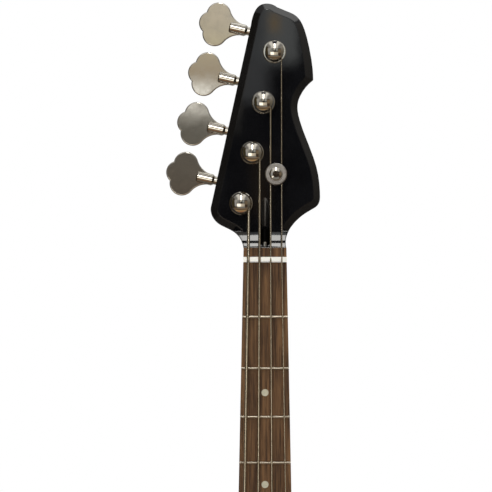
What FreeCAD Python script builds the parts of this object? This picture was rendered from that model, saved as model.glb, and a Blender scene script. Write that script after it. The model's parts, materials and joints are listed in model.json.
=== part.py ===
"""Four-string electric bass guitar with a bolt-on neck, in millimetres.

X runs across the strings towards the thinnest one, Y from the front of the instrument to its back, and
Z along the strings towards the headstock. The origin is the middle of the end strap button's head.
Each piece is written to its own file, named after the piece.
"""
import FreeCAD, Part
import math
import os

Vec = FreeCAD.Vector

# Strings, thickest first
STRING_NAMES = ("e", "a", "d", "g")
STRING_DIAMETERS = (2.67, 2.16, 1.65, 1.14)
SCALE_LENGTH = 863.6
NUT_STRING_SPACING = 9.93
BRIDGE_STRING_SPACING = 19.0
STRING_LIFT_NUT = 1.6
STRING_LIFT_SADDLE = 5.2
STRING_BEND_RADIUS = 12.0
STRING_SLOT_GAP = 0.1
NUT_BREAK = 0.5
SADDLE_BREAK = 18.0
WINDING_QUARTERS = (4, 5, 8, 11)
WINDING_PITCHES = (6.0, 4.4, 2.8, 2.2)
WINDING_DIPS = (0.8, 0.4, 0.1, 0.1)
STRINGS_UNDER_TREE = ("d", "g")
BALL_RADIUS = 2.9
BALL_LENGTH = 4.5

# Clearances
RUNNING_FIT = 0.05
SEAT_FIT = 0.05
FREE_GAP = 0.3

# Fingerboard, frets, inlays and nut
FRET_COUNT = 20
FRET_WIDTH = 2.2
FRET_HEIGHT = 1.1
FRET_TANG_WIDTH = 0.6
FRET_TANG_DEPTH = 1.6
FRET_END_INSET = 0.4
FINGERBOARD_THICKNESS = 5.5
FINGERBOARD_RADIUS = 254.0
FINGERBOARD_TAIL = 10.4
FINGERBOARD_BEHIND_NUT = 8.2
NUT_SHELF_DROP = 1.6
NUT_WIDTH = 38.7
NUT_THICKNESS = 4.8
NUT_SEAT_DEPTH = 3.0
NUT_ABOVE_STRING_SEAT = 1.1
NUT_FRONT_CHAMFER = 1.2
HEEL_WIDTH = 62.9
DOT_RADIUS = 3.15
DOT_DEPTH = 2.0
DOT_PAIR_OFFSET = 10.0
SIDE_DOT_RADIUS = 1.0
SIDE_DOT_DEPTH = 2.0
SIDE_DOT_LEVEL = 3.6
SINGLE_DOT_FRETS = (3, 5, 7, 9, 15, 17, 19)
DOUBLE_DOT_FRET = 12

# Neck and headstock
NECK_DEPTH_AT_NUT = 15.5
NECK_DEPTH_AT_HEEL = 17.8
HEEL_THICKNESS = 25.4
HEEL_LENGTH = 97.0
HEEL_BLEND = 24.0
HEAD_BLEND = 30.0
SHAFT_SQUARENESS = 2.3
HEEL_SQUARENESS = 9.0
HEAD_DROP = 11.5
HEAD_THICKNESS = 14.0
HEAD_FACE_BEVEL = 6.0
HEAD_BACK_ROUND = 2.0
HEAD_OVERLAP = 1.0
SHAFT_INTO_HEAD = 0.6
SHAFT_STEP_AT_HEAD = 0.3
RAMP_LENGTH = 15.0
TRUSS_SLOT_RADIUS = 4.4
TRUSS_SLOT_SETBACK = 0.8
TRUSS_SLOT_STRAIGHT = 11.0
TRUSS_SLOT_RUNOUT = 28.0
TRUSS_ROD_RADIUS = 2.5
TRUSS_ROD_DEPTH = 6.2
TRUSS_ROD_FROM_HEEL = 30.0
TRUSS_ROD_IN_NUT = 6.0
TRUSS_NUT_RADIUS = 3.7
TRUSS_NUT_LENGTH = 12.0
TRUSS_NUT_SOCKET = 2.4
TRUSS_NUT_CHAMFER = 0.6

# Tuning machines
TUNER_TILT = 12.4
TUNER_SPACING = 46.4
FIRST_POST_X = -21.35
FIRST_POST_HEIGHT = 52.6
POST_RADIUS = 5.3
POST_CAP_RADIUS = 8.4
POST_FLARE_HEIGHT = 0.8
POST_CAP_BOTTOM = 11.0
POST_CAP_RIM = 1.2
POST_CAP_ROUND = 0.6
POST_DOME_HEIGHT = 2.0
POST_TAIL_RADIUS = 4.0
POST_RIVET_RADIUS = 5.4
POST_RIVET_HEIGHT = 1.2
BUSHING_FLANGE_RADIUS = 10.35
BUSHING_FLANGE_HEIGHT = 2.0
BUSHING_RADIUS = 8.0
BUSHING_LENGTH = 10.0
WORM_OFFSET = 15.9
WORM_AXIS_DEPTH = 8.0
GEAR_TEETH = 20
GEAR_MODULE = 1.15
GEAR_WIDTH = 7.0
GEAR_HUB_RADIUS = 6.5
TOOTH_ADDENDUM = 0.9
TOOTH_DEDENDUM = 1.2
TOOTH_BACKLASH = 0.35
TOOTH_FLANK_ANGLE = 20.0
WORM_TURNS = 4
WORM_SHOULDER = 0.5
WORM_SHAFT_RADIUS = 3.0
WORM_SHAFT_IN_STEM = 12.0
TUNER_PLATE_THICKNESS = 1.5
TUNER_PLATE_WIDTH = 40.0
TUNER_PLATE_BELOW = 15.0
TUNER_PLATE_ABOVE = 24.0
TUNER_PLATE_CORNER = 3.5
TUNER_LUG_THICKNESS = 4.0
TUNER_LUG_RADIUS = 5.5
TUNER_SCREW_INSET = 3.6
TUNER_SCREW_LENGTH = 9.0
STEM_RADIUS = 3.8
HUB_RADIUS = 5.2
HUB_START = 28.4
HUB_END = 45.0
HUB_CHAMFER_LENGTH = 2.2
HUB_END_CHAMFER = 1.0
KEY_THICKNESS = 3.2
KEY_EDGE_ROUND = 1.0
KEY_FLARE_START = 31.0
KEY_FLARE_HALF = 4.9
KEY_SIDE_LOBE_OUT = 56.8
KEY_SIDE_LOBE_UP = 8.9
KEY_SIDE_LOBE_RADIUS = 11.2
KEY_END_LOBE_OUT = 62.7
KEY_END_LOBE_RADIUS = 10.4

# String tree
TREE_X = 9.8
TREE_HEIGHT = 78.6
TREE_RADIUS = 9.85
TREE_DISC_BOTTOM = 5.6
TREE_DISC_THICKNESS = 2.6
TREE_EDGE_ROUND = 0.8
TREE_HUB_RADIUS = 3.4
TREE_SCREW_HEAD_RADIUS = 5.9
TREE_SCREW_HEAD_HEIGHT = 2.2
TREE_SCREW_RADIUS = 1.6
TREE_SCREW_LENGTH = 17.0

# Body
BODY_THICKNESS = 42.0
BODY_EDGE_ROUND = 9.0
TAIL_Z = 11.0
SADDLE_FROM_TAIL = 78.0
NECK_POCKET_DEPTH = 18.0
POCKET_GAP = 0.15

# Neck plate and screws
NECK_PLATE_WIDTH = 51.0
NECK_PLATE_LENGTH = 64.0
NECK_PLATE_THICKNESS = 2.0
NECK_PLATE_CORNER = 5.0
NECK_PLATE_FROM_HEEL = 38.0
NECK_SCREW_INSET = 7.0
NECK_SCREW_RADIUS = 2.4
NECK_SCREW_LENGTH = 40.0
NECK_SCREW_HEAD_RADIUS = 4.6
NECK_SCREW_HEAD_HEIGHT = 2.2

# Bridge
BRIDGE_WIDTH = 84.0
BRIDGE_BASE_THICKNESS = 2.5
BRIDGE_AHEAD_OF_SADDLE = 22.0
BRIDGE_WALL_BEHIND_SADDLE = 42.0
BRIDGE_WALL_THICKNESS = 3.0
BRIDGE_WALL_HEIGHT = 15.0
BRIDGE_EDGE_ROUND = 1.0
BRIDGE_STRING_HOLE_LIFT = 10.9
BRIDGE_STRING_HOLE_GAP = 0.4
INTONATION_SCREW_LIFT = 5.7
INTONATION_SCREW_RADIUS = 1.5
INTONATION_HEAD_RADIUS = 2.0
INTONATION_HEAD_HEIGHT = 1.8
INTONATION_SCREW_LENGTH = 45.0
SADDLE_WIDTH = 18.0
SADDLE_AHEAD = 5.0
SADDLE_BEHIND = 10.0
SADDLE_CREST_AHEAD = 2.0
SADDLE_CREST_BEHIND = 3.0
SADDLE_NOSE_DROP = 2.0
SADDLE_BACK_DROP = 4.0
SADDLE_FLOAT = 0.5
SADDLE_GROOVE_GAP = 0.35
HEIGHT_SCREW_RADIUS = 1.5
HEIGHT_SCREW_OFFSET = 6.0
SPRING_RADIUS = 2.5
SPRING_WIRE_RADIUS = 0.4
SPRING_TURNS = 8

# Pickups
PICKUP_POSITIONS = (62.0, 160.0)
PICKUP_LENGTH = 104.0
PICKUP_WIDTH = 28.0
PICKUP_CORNER = 5.0
PICKUP_LIFT = 8.5
PICKUP_EDGE_ROUND = 1.2
PICKUP_CAVITY_DEPTH = 11.0
PICKUP_WALL = 2.0
PICKUP_END_BLOCK = 12.0
PICKUP_GAP = 0.5
PICKUP_SCREW_INSET = 6.0
PICKUP_SCREW_LENGTH = 26.0
POLE_RADIUS = 2.4
POLE_PROUD = 0.6
POLE_SPREAD = 4.0

# Controls and output jack
KNOB_NAMES = ("neck_volume_knob", "bridge_volume_knob", "tone_knob")
KNOB_PLACES = ((92.0, 190.0), (115.0, 150.0), (126.0, 106.0))
KNOB_RADIUS = 9.5
KNOB_HEIGHT = 16.0
KNOB_FLOAT = 0.6
KNOB_WALL = 1.6
KNOB_HOLLOW = 4.2
KNOB_CROWN = 3.0
KNOB_GROOVES = 24
KNOB_GROOVE_RADIUS = 0.5
KNOB_POINTER_WIDTH = 1.0
KNOB_POINTER_DEPTH = 0.4
POT_RADIUS = 12.0
POT_HEIGHT = 9.0
POT_BUSHING_RADIUS = 4.7
POT_BUSHING_PROUD = 3.2
POT_SHAFT_RADIUS = 3.0
POT_SHAFT_DEPTH = 6.0
POT_NUT_RADIUS = 6.9
POT_NUT_HEIGHT = 2.2
CONTROL_TOP_WALL = 6.0
CONTROL_CAVITY_RADIUS = 20.0
CONTROL_COVER_MARGIN = 5.0
CONTROL_COVER_THICKNESS = 2.0
CONTROL_COVER_GAP = 0.2
WIRE_CHANNEL_RADIUS = 3.0
CAPACITOR_RADIUS = 4.0
CAPACITOR_LENGTH = 14.0
WIRE_RADIUS = 0.7
WIRE_BOW = 7.0
JACK_HEIGHT = 106.0
JACK_BORE_RADIUS = 3.25
JACK_SLEEVE_RADIUS = 4.7
JACK_SLEEVE_LENGTH = 11.0
JACK_SLEEVE_PROUD = 1.0
JACK_CUP_RADIUS = 7.5
JACK_CUP_LENGTH = 12.0
JACK_CUP_WALL = 1.2
JACK_SEAT_X = 157.5
JACK_SEAT_RADIUS = 10.0
JACK_NUT_RADIUS = 8.5
JACK_NUT_THICKNESS = 2.5

# Pickguard and small screws
PICKGUARD_THICKNESS = 2.5
PICKGUARD_NECK_GAP = 0.5
SMALL_SCREW_RADIUS = 1.2
SMALL_SCREW_LENGTH = 10.0
SMALL_SCREW_HEAD_RADIUS = 2.9
SMALL_SCREW_HEAD_HEIGHT = 1.4
BRIDGE_SCREW_RADIUS = 1.8
BRIDGE_SCREW_HEAD_RADIUS = 3.6
BRIDGE_SCREW_HEAD_HEIGHT = 1.8
BRIDGE_SCREW_LENGTH = 22.0
BRIDGE_SCREW_COUNT = 5
BRIDGE_SCREW_PITCH = 16.0
BRIDGE_SCREW_INSET = 5.0

# Strap buttons
BUTTON_HEAD_RADIUS = 7.25
BUTTON_HEAD_THICKNESS = 2.5
BUTTON_WAIST_RADIUS = 4.0
BUTTON_BASE_RADIUS = 6.5
BUTTON_BASE_THICKNESS = 2.0
BUTTON_FLARE = 1.5
BUTTON_SCREW_RADIUS = 1.9
BUTTON_SCREW_HEAD_RADIUS = 3.4
BUTTON_SCREW_HEAD_HEIGHT = 1.6
BUTTON_SCREW_LENGTH = 30.0
BUTTON_SEAT_DEPTH = 1.2

# Body and pickguard outlines, across the strings and above the tail, round from the tail's middle
BODY_OUTLINE = (
    (0, 0), (70, 3), (125, 32), (157, 84), (160, 130), (143, 190), (120, 248), (116, 300), (126, 354),
    (134, 406), (127, 452), (106, 474), (86, 462), (68, 438), (48, 422), (0, 424), (-44, 434),
    (-66, 452), (-82, 488), (-104, 508), (-128, 494), (-143, 444), (-142, 382), (-130, 320),
    (-121, 268), (-131, 215), (-153, 160), (-163, 105), (-150, 48), (-110, 12), (-55, 1),
)
HORN_TIP = (-104, 508)
PICKGUARD_OUTLINE = (
    (-52, 264), (0, 260), (52, 264), (84, 284), (97, 330), (106, 380), (112, 420), (103, 446),
    (88, 436), (70, 412), (50, 402), (0, 404), (-50, 412), (-70, 430), (-90, 468), (-112, 474),
    (-124, 436), (-122, 380), (-108, 326), (-82, 286),
)
PICKGUARD_SCREWS = (
    (-45, 271), (45, 271), (86, 300), (101, 376), (103, 432), (-106, 464), (-115, 400), (-94, 314),
)
COVER_SCREWS = ((82.0, 209.0), (107.0, 196.0), (142.5, 124.0), (122.0, 83.5))

# Levels along Y, where the front is negative
BODY_FRONT = -BODY_THICKNESS / 2
BODY_BACK = BODY_THICKNESS / 2
POCKET_FLOOR = BODY_FRONT + NECK_POCKET_DEPTH
BOARD_TOP = POCKET_FLOOR - HEEL_THICKNESS
NECK_FRONT = BOARD_TOP + FINGERBOARD_THICKNESS
HEAD_FACE = BOARD_TOP + HEAD_DROP
HEAD_BACK = HEAD_FACE + HEAD_THICKNESS
TUNER_BACK = HEAD_BACK + TUNER_PLATE_THICKNESS
WORM_Y = HEAD_BACK + WORM_AXIS_DEPTH
BRIDGE_TOP = BODY_FRONT - BRIDGE_BASE_THICKNESS
INTONATION_Y = BODY_FRONT - INTONATION_SCREW_LIFT
PICKUP_TOP = BODY_FRONT - PICKUP_LIFT
PICKUP_FLOOR = BODY_FRONT + PICKUP_CAVITY_DEPTH
CONTROL_FLOOR = BODY_FRONT + CONTROL_TOP_WALL
CURVE_CENTRE = BOARD_TOP + FINGERBOARD_RADIUS
TRUSS_Y = NECK_FRONT + TRUSS_ROD_DEPTH

# Levels along Z
SADDLE_Z = TAIL_Z + SADDLE_FROM_TAIL
NUT_Z = SADDLE_Z + SCALE_LENGTH
BOARD_END_Z = NUT_Z - SCALE_LENGTH * (1 - 2 ** (-FRET_COUNT / 12)) - FINGERBOARD_TAIL
RAMP_TOP_Z = NUT_Z + NUT_THICKNESS + FINGERBOARD_BEHIND_NUT
RAMP_FOOT_Z = RAMP_TOP_Z + RAMP_LENGTH
RAMP_DROP = HEAD_FACE - NECK_FRONT
RAMP_RADIUS = (RAMP_LENGTH ** 2 + RAMP_DROP ** 2) / (2 * RAMP_DROP)
HEAD_START_Z = RAMP_TOP_Z - HEAD_OVERLAP
TRUSS_NUT_START_Z = RAMP_TOP_Z + TRUSS_SLOT_SETBACK + TRUSS_SLOT_RADIUS
TRUSS_ROD_END_Z = TRUSS_NUT_START_Z + TRUSS_ROD_IN_NUT
WALL_Z = SADDLE_Z - BRIDGE_WALL_BEHIND_SADDLE
NECK_PLATE_Z = BOARD_END_Z + NECK_PLATE_FROM_HEEL
JACK_Z = TAIL_Z + JACK_HEIGHT

# Gearing worked out from the module
GEAR_PITCH_RADIUS = GEAR_MODULE * GEAR_TEETH / 2
WORM_PITCH_RADIUS = WORM_OFFSET - GEAR_PITCH_RADIUS
WORM_LEAD = math.pi * GEAR_MODULE
WORM_LENGTH = WORM_TURNS * WORM_LEAD
FLANK_SLOPE = math.tan(math.radians(TOOTH_FLANK_ANGLE))
TOOTH_HALF = (WORM_LEAD / 2 - TOOTH_BACKLASH) / 2
TOOTH_HALF_TIP = TOOTH_HALF - TOOTH_ADDENDUM * FLANK_SLOPE
TOOTH_HALF_ROOT = TOOTH_HALF + TOOTH_DEDENDUM * FLANK_SLOPE
WORM_CORE_HALF = WORM_LENGTH / 2 + TOOTH_HALF_ROOT + WORM_SHOULDER
LUG_INNER = WORM_CORE_HALF + FREE_GAP
LUG_OUTER = LUG_INNER + TUNER_LUG_THICKNESS
STEM_START = LUG_OUTER + FREE_GAP

# Strap button height from its seat to the outside of its head, so that the end head's middle is at zero
END_SEAT_Z = TAIL_Z + BUTTON_SEAT_DEPTH
BUTTON_HEIGHT = END_SEAT_Z + BUTTON_HEAD_THICKNESS / 2

ALONG_X = Vec(1, 0, 0)
ALONG_Y = Vec(0, 1, 0)
ALONG_Z = Vec(0, 0, 1)
STRINGS = range(len(STRING_NAMES))


# Shared shapes

def box(x0, x1, y0, y1, z0, z1):
    """Box between two corners."""
    return Part.makeBox(x1 - x0, y1 - y0, z1 - z0, Vec(x0, y0, z0))


def rod(radius, start, end):
    """Cylinder from one point to another."""
    axis = end - start
    return Part.makeCylinder(radius, axis.Length, start, axis)


def spline(points, periodic=False):
    """Smooth edge through points."""
    curve = Part.BSplineCurve()
    curve.interpolate(Points=points, PeriodicFlag=periodic)
    return curve.toShape()


def polygon(points):
    """Flat face with straight sides."""
    return Part.Face(Part.makePolygon(list(points) + [points[0]]))


def plate(wire, y0, y1):
    """Prism of a closed outline drawn in the XZ plane at zero, from one level to another."""
    face = Part.Face(wire)
    face.translate(Vec(0, y0, 0))
    return face.extrude(Vec(0, y1 - y0, 0))


def across(profile, half_width):
    """Prism of (y, z) points drawn across the strings, evenly to both sides of the middle."""
    face = polygon([Vec(-half_width, y, z) for y, z in profile])
    return face.extrude(Vec(2 * half_width, 0, 0))


def rounded_plate(width, length, corner, x, z, y0, y1):
    """Rectangular plate with rounded corners round a middle point."""
    block = box(x - width / 2, x + width / 2, y0, y1, z - length / 2, z + length / 2)
    upright = [edge for edge in block.Edges if edge.BoundBox.YLength > (y1 - y0) / 2]
    return block.makeFillet(corner, upright)


def rim_edges(solid, level):
    """Edges of a solid that lie at one level along Y."""
    near = 0.001
    return [edge for edge in solid.Edges
            if abs(edge.BoundBox.YMin - level) < near and abs(edge.BoundBox.YMax - level) < near]


def turned(profile, base, direction):
    """Solid of revolution from (radius, height) points, with its axis along a direction."""
    solid = polygon([Vec(radius, 0, height) for radius, height in profile]).revolve(Vec(), ALONG_Z, 360)
    solid.Placement = FreeCAD.Placement(base, FreeCAD.Rotation(ALONG_Z, direction))
    return solid


def capsule_chain(places, radius, y0, y1):
    """Plate that follows a row of (x, z) places with rounded ends."""
    pieces = [rod(radius, Vec(x, y0, z), Vec(x, y1, z)) for x, z in places]
    for (x0, z0), (x1, z1) in zip(places, places[1:]):
        start = Vec(x0, 0, z0)
        end = Vec(x1, 0, z1)
        side = (end - start).cross(ALONG_Y).normalize() * radius
        corners = [start + side, end + side, end - side, start - side]
        pieces.append(plate(Part.makePolygon(corners + corners[:1]), y0, y1))
    return pieces[0].multiFuse(pieces[1:]).removeSplitter()


def screw(head_radius, head_height, radius, length, base, direction):
    """Cross-head screw whose head stands on its base and whose shank runs along a direction."""
    profile = [(0, length), (radius * 0.3, length), (radius, length - 3 * radius), (radius, 0),
               (head_radius, 0), (head_radius, -head_height * 0.4), (head_radius * 0.8, -head_height * 0.8),
               (head_radius * 0.5, -head_height), (0, -head_height)]
    solid = turned(profile, Vec(), ALONG_Z)
    arm = head_radius * 0.5
    slot = head_radius * 0.12
    floor = -head_height * 0.4
    cross = box(-arm, arm, -slot, slot, -head_height, floor).fuse(
        box(-slot, slot, -arm, arm, -head_height, floor))
    solid = solid.cut(cross)
    solid.Placement = FreeCAD.Placement(base, FreeCAD.Rotation(ALONG_Z, direction))
    return solid


def small_screw(base, direction, length):
    """Small cross-head wood screw."""
    return screw(SMALL_SCREW_HEAD_RADIUS, SMALL_SCREW_HEAD_HEIGHT, SMALL_SCREW_RADIUS, length, base,
                 direction)


def pilot(radius, base, direction, length):
    """Hole for a screw, a little wider and longer than its shank."""
    return rod(radius + SEAT_FIT, base - direction, base + direction * (length + SEAT_FIT))


def export(name, solids):
    """Write a piece, or a group of like pieces, to its file."""
    shape = solids[0] if len(solids) == 1 else Part.makeCompound(solids)
    shape.exportStep("parts/" + name + ".step")


# Bent tubes

def arc_from(start, tangent, end):
    """Arc that leaves a point along a tangent and ends at another point."""
    chord = end - start
    side = chord - tangent * chord.dot(tangent)
    if side.Length < 1e-7 * chord.Length:
        return Part.LineSegment(start, end).toShape()
    side.normalize()
    radius = chord.dot(chord) / (2 * chord.dot(side))
    centre = start + side * radius
    middle = (start + end) * 0.5 - centre
    if chord.dot(tangent) < 0:
        middle = middle * -1
    return Part.Arc(start, centre + middle.normalize() * radius, end).toShape()


def biarc(start, start_tangent, end, end_tangent):
    """Two arcs that join two points with a given direction at each."""
    chord = end - start
    both = start_tangent + end_tangent
    spread = 2 * (1 - start_tangent.dot(end_tangent))
    along = chord.dot(both)
    reach = (math.sqrt(along ** 2 + spread * chord.dot(chord)) - along) / spread
    before = start + start_tangent * reach
    after = end - end_tangent * reach
    joint = (before + after) * 0.5
    return [arc_from(start, start_tangent, joint), arc_from(joint, (after - before).normalize(), end)]


def rounded_route(corners, radius):
    """Straight runs through corner points, with a tangent arc at each inner corner."""
    edges = []
    start = corners[0]
    for before, corner, after in zip(corners, corners[1:], corners[2:]):
        arriving = (corner - before).normalize()
        leaving = (after - corner).normalize()
        half_turn = arriving.getAngle(leaving) / 2
        setback = radius * math.tan(half_turn)
        inward = (leaving - arriving).normalize()
        middle = corner + inward * (radius / math.cos(half_turn) - radius)
        first = corner - arriving * setback
        last = corner + leaving * setback
        edges += [Part.LineSegment(start, first).toShape(), Part.Arc(first, middle, last).toShape()]
        start = last
    return edges + [Part.LineSegment(start, corners[-1]).toShape()]


def tube(edges, radius):
    """Round tube along joined edges."""
    wire = Part.Wire(Part.__sortEdges__(edges))
    first = wire.OrderedEdges[0]
    start = wire.OrderedVertexes[0].Point
    parameter = first.Curve.parameter(start)
    profile = Part.Wire(Part.makeCircle(radius, start, first.tangentAt(parameter)))
    return wire.makePipeShell([profile], True, False)


def least_gap(edges, diameter):
    """Least gap between stretches of a wound tube that lie further apart along it than half a turn."""
    points = []
    distance = 0
    for edge in edges:
        pieces = edge.discretize(13)
        for point in pieces[1:]:
            distance += edge.Length / 12
            points.append((distance, point))
    apart = 4 * diameter
    return min(first.distanceToPoint(second) for place, first in points for other, second in points
               if other - place > apart) - diameter


# Places along the neck

def fret_z(number):
    """Height of a fret by the equal-tempered rule."""
    return NUT_Z - SCALE_LENGTH * (1 - 2 ** (-number / 12))


def neck_half_width(z):
    """Half the neck's width, which tapers evenly from the heel to the nut."""
    share = (NUT_Z - z) / (NUT_Z - BOARD_END_Z)
    return (NUT_WIDTH + (HEEL_WIDTH - NUT_WIDTH) * share) / 2


def board_sag(x):
    """How far the curved fingerboard falls below its middle line."""
    return FINGERBOARD_RADIUS - math.sqrt(FINGERBOARD_RADIUS ** 2 - x ** 2)


def string_point(index, spacing, lift, z):
    """Middle of a string where the strings have this spacing and lie this far above the fingerboard."""
    x = (index - (len(STRING_NAMES) - 1) / 2) * spacing
    return Vec(x, BOARD_TOP + board_sag(x) - lift - STRING_DIAMETERS[index] / 2, z)


def string_at_nut(index):
    """Middle of a string at the nut's front edge."""
    return string_point(index, NUT_STRING_SPACING, STRING_LIFT_NUT, NUT_Z)


def string_at_saddle(index):
    """Middle of a string over its saddle's crest."""
    return string_point(index, BRIDGE_STRING_SPACING, STRING_LIFT_SADDLE, SADDLE_Z)


def tuner_place(index):
    """Place of a tuner: its post is the local origin, and its worm lies along local X above the post."""
    along = index * TUNER_SPACING
    x = FIRST_POST_X + along * math.sin(math.radians(TUNER_TILT))
    z = NUT_Z + FIRST_POST_HEIGHT + along * math.cos(math.radians(TUNER_TILT))
    return FreeCAD.Placement(Vec(x, 0, z), FreeCAD.Rotation(ALONG_Y, TUNER_TILT))


def at_tuner(solid, index):
    """Copy of a locally drawn solid at one tuner."""
    copy = solid.copy()
    copy.Placement = tuner_place(index).multiply(solid.Placement)
    return copy


def tuner_screw_places():
    """Middles of the tuner plates' screws on the back of each plate."""
    reach = TUNER_PLATE_WIDTH / 2 - TUNER_SCREW_INSET
    levels = (TUNER_SCREW_INSET - TUNER_PLATE_BELOW, TUNER_PLATE_ABOVE - TUNER_SCREW_INSET)
    return [tuner_place(index).multVec(Vec(x, TUNER_BACK, z))
            for index in STRINGS for x in (-reach, reach) for z in levels]


def neck_screw_places():
    """Middles of the neck screws on the back of the neck plate."""
    reach_x = NECK_PLATE_WIDTH / 2 - NECK_SCREW_INSET
    reach_z = NECK_PLATE_LENGTH / 2 - NECK_SCREW_INSET
    level = BODY_BACK + NECK_PLATE_THICKNESS
    return [Vec(x, level, NECK_PLATE_Z + z) for x in (-reach_x, reach_x) for z in (-reach_z, reach_z)]


# Neck

def neck_section(z, depth, squareness, step=0.0):
    """Closed section of the neck: flat under the fingerboard, round or square at the back, less a step."""
    half = neck_half_width(z) - step
    deep = depth - step
    steps = 12
    points = [Vec(half, NECK_FRONT, z)]
    for step in range(1, steps):
        angle = math.pi * step / steps
        sideways = math.copysign(abs(math.cos(angle)) ** (2 / squareness), math.cos(angle))
        points.append(Vec(half * sideways, NECK_FRONT + deep * math.sin(angle) ** (2 / squareness), z))
    points.append(Vec(-half, NECK_FRONT, z))
    return Part.Wire([spline(points), Part.LineSegment(points[-1], points[0]).toShape()])


def head_outline():
    """Closed outline of the headstock from the neck's sides up to the tip, in heights above the nut."""
    def at(x, height):
        return Vec(x, 0, NUT_Z + height)

    half = neck_half_width(HEAD_START_Z)
    low_left = Vec(-half, 0, HEAD_START_Z)
    low_right = Vec(half, 0, HEAD_START_Z)
    corner = at(-48.0, 51.8)
    shoulder = at(-12.5, 213.3)
    ridge_start = at(10.9, 229.5)
    ridge_end = at(24.0, 224.1)
    point = at(43.6, 164.0)
    left_throat = [low_left, at(-21.2, 19.4), at(-25.0, 24.8), at(-33.3, 30.2), at(-43.0, 35.6),
                   at(-47.6, 42.0), corner]
    tip = [shoulder, at(-9.75, 224.1), at(-4.1, 231.3), at(2.5, 232.7), ridge_start]
    crown = [ridge_end, at(31.0, 218.7), at(36.2, 208.0), at(40.3, 191.8), at(42.9, 176.0), point]
    wave = [point, at(34.4, 154.1), at(29.6, 142.0), at(31.6, 127.2), at(39.5, 105.6), at(46.9, 84.1),
            at(49.7, 62.5), at(48.0, 51.8), at(40.6, 46.4), at(26.8, 35.6), at(20.0, 24.8), low_right]
    edges = [
        spline(left_throat),
        Part.LineSegment(corner, shoulder).toShape(),
        spline(tip),
        Part.LineSegment(ridge_start, ridge_end).toShape(),
        spline(crown),
        spline(wave),
        Part.LineSegment(low_right, low_left).toShape(),
    ]
    return Part.Wire(edges)


def ramp_cutter():
    """Cylinder across the neck that hollows the ramp from the fingerboard's end to the headstock's face."""
    dip = 0.02
    start = Vec(-HEEL_WIDTH, HEAD_FACE + dip - RAMP_RADIUS, RAMP_FOOT_Z)
    return Part.makeCylinder(RAMP_RADIUS, 2 * HEEL_WIDTH, start, ALONG_X)


def truss_slot():
    """Round-nosed slot that opens the ramp and runs out on the headstock's face."""
    radius = TRUSS_SLOT_RADIUS
    front = BOARD_TOP - 1
    nose = Vec(0, TRUSS_Y, TRUSS_NUT_START_Z)
    bend = nose + ALONG_Z * TRUSS_SLOT_STRAIGHT
    runout = Vec(0, HEAD_FACE - radius, bend.z + TRUSS_SLOT_RUNOUT)
    pieces = [
        rod(radius, nose, Vec(0, front, nose.z)),
        rod(radius, nose, bend),
        Part.makeSphere(radius, bend),
        rod(radius, bend, runout),
        box(-radius, radius, front, TRUSS_Y, nose.z, bend.z),
        across([(bend.y, bend.z), (runout.y, runout.z), (front, runout.z), (front, bend.z)], radius),
    ]
    return Part.makeSphere(radius, nose).multiFuse(pieces)


def head_plate():
    """Headstock slab with a wide bevel round its face and an eased back edge."""
    slab = plate(head_outline(), HEAD_FACE, HEAD_BACK)
    back = [edge for edge in rim_edges(slab, HEAD_BACK) if edge.BoundBox.ZLength > 1]
    slab = slab.makeFillet(HEAD_BACK_ROUND, back)
    front = [edge for edge in rim_edges(slab, HEAD_FACE) if edge.BoundBox.ZLength > 1]
    return slab.makeChamfer(HEAD_FACE_BEVEL, front)


def neck_blank():
    """Heel, shaft, ramp and headstock before they are bored."""
    heel_top = BOARD_END_Z + HEEL_LENGTH
    heel_depth = HEEL_THICKNESS - FINGERBOARD_THICKNESS
    sections = [
        neck_section(heel_top, heel_depth, HEEL_SQUARENESS),
        neck_section(heel_top + HEEL_BLEND, NECK_DEPTH_AT_HEEL, SHAFT_SQUARENESS),
        neck_section(NUT_Z - HEAD_BLEND, NECK_DEPTH_AT_NUT, SHAFT_SQUARENESS),
        neck_section(HEAD_START_Z + SHAFT_INTO_HEAD, HEAD_BACK - NECK_FRONT, HEEL_SQUARENESS,
                     SHAFT_STEP_AT_HEAD),
    ]
    shaft = Part.makeLoft(sections, True, True)
    heel = tapered_slab(BOARD_END_Z, heel_top, NECK_FRONT, POCKET_FLOOR)
    ramp = plate(head_outline(), NECK_FRONT, HEAD_FACE + HEAD_THICKNESS / 2)
    ramp = ramp.common(box(-HEEL_WIDTH, HEEL_WIDTH, BOARD_TOP, HEAD_BACK, HEAD_START_Z, RAMP_FOOT_Z))
    ramp = ramp.cut(ramp_cutter())
    return shaft.multiFuse([heel, ramp, head_plate()])


def make_neck():
    """Neck and headstock in one piece of wood, with its slot, bores and pilot holes."""
    bores = [truss_slot()]
    bores.append(rod(TRUSS_ROD_RADIUS + SEAT_FIT, Vec(0, TRUSS_Y, BOARD_END_Z + TRUSS_ROD_FROM_HEEL),
                     Vec(0, TRUSS_Y, TRUSS_NUT_START_Z)))
    for index in STRINGS:
        post = tuner_place(index).Base
        front = Vec(post.x, HEAD_FACE - 1, post.z)
        step = Vec(post.x, HEAD_FACE + BUSHING_LENGTH, post.z)
        bores.append(rod(BUSHING_RADIUS + SEAT_FIT, front, step))
        bores.append(rod(POST_RADIUS + FREE_GAP, step, Vec(post.x, HEAD_BACK + 1, post.z)))
    for base in tuner_screw_places():
        bores.append(pilot(SMALL_SCREW_RADIUS, base, -ALONG_Y, TUNER_SCREW_LENGTH))
    bores.append(pilot(TREE_SCREW_RADIUS, tree_screw_base(), ALONG_Y, TREE_SCREW_LENGTH))
    for base in neck_screw_places():
        bores.append(pilot(NECK_SCREW_RADIUS, base, -ALONG_Y, NECK_SCREW_LENGTH))
    return neck_blank().cut(bores).removeSplitter()


def make_truss_rod():
    """Steel rod in its bore, with its end in the adjusting nut."""
    start = BOARD_END_Z + TRUSS_ROD_FROM_HEEL + SEAT_FIT
    return rod(TRUSS_ROD_RADIUS, Vec(0, TRUSS_Y, start), Vec(0, TRUSS_Y, TRUSS_ROD_END_Z))


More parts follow.
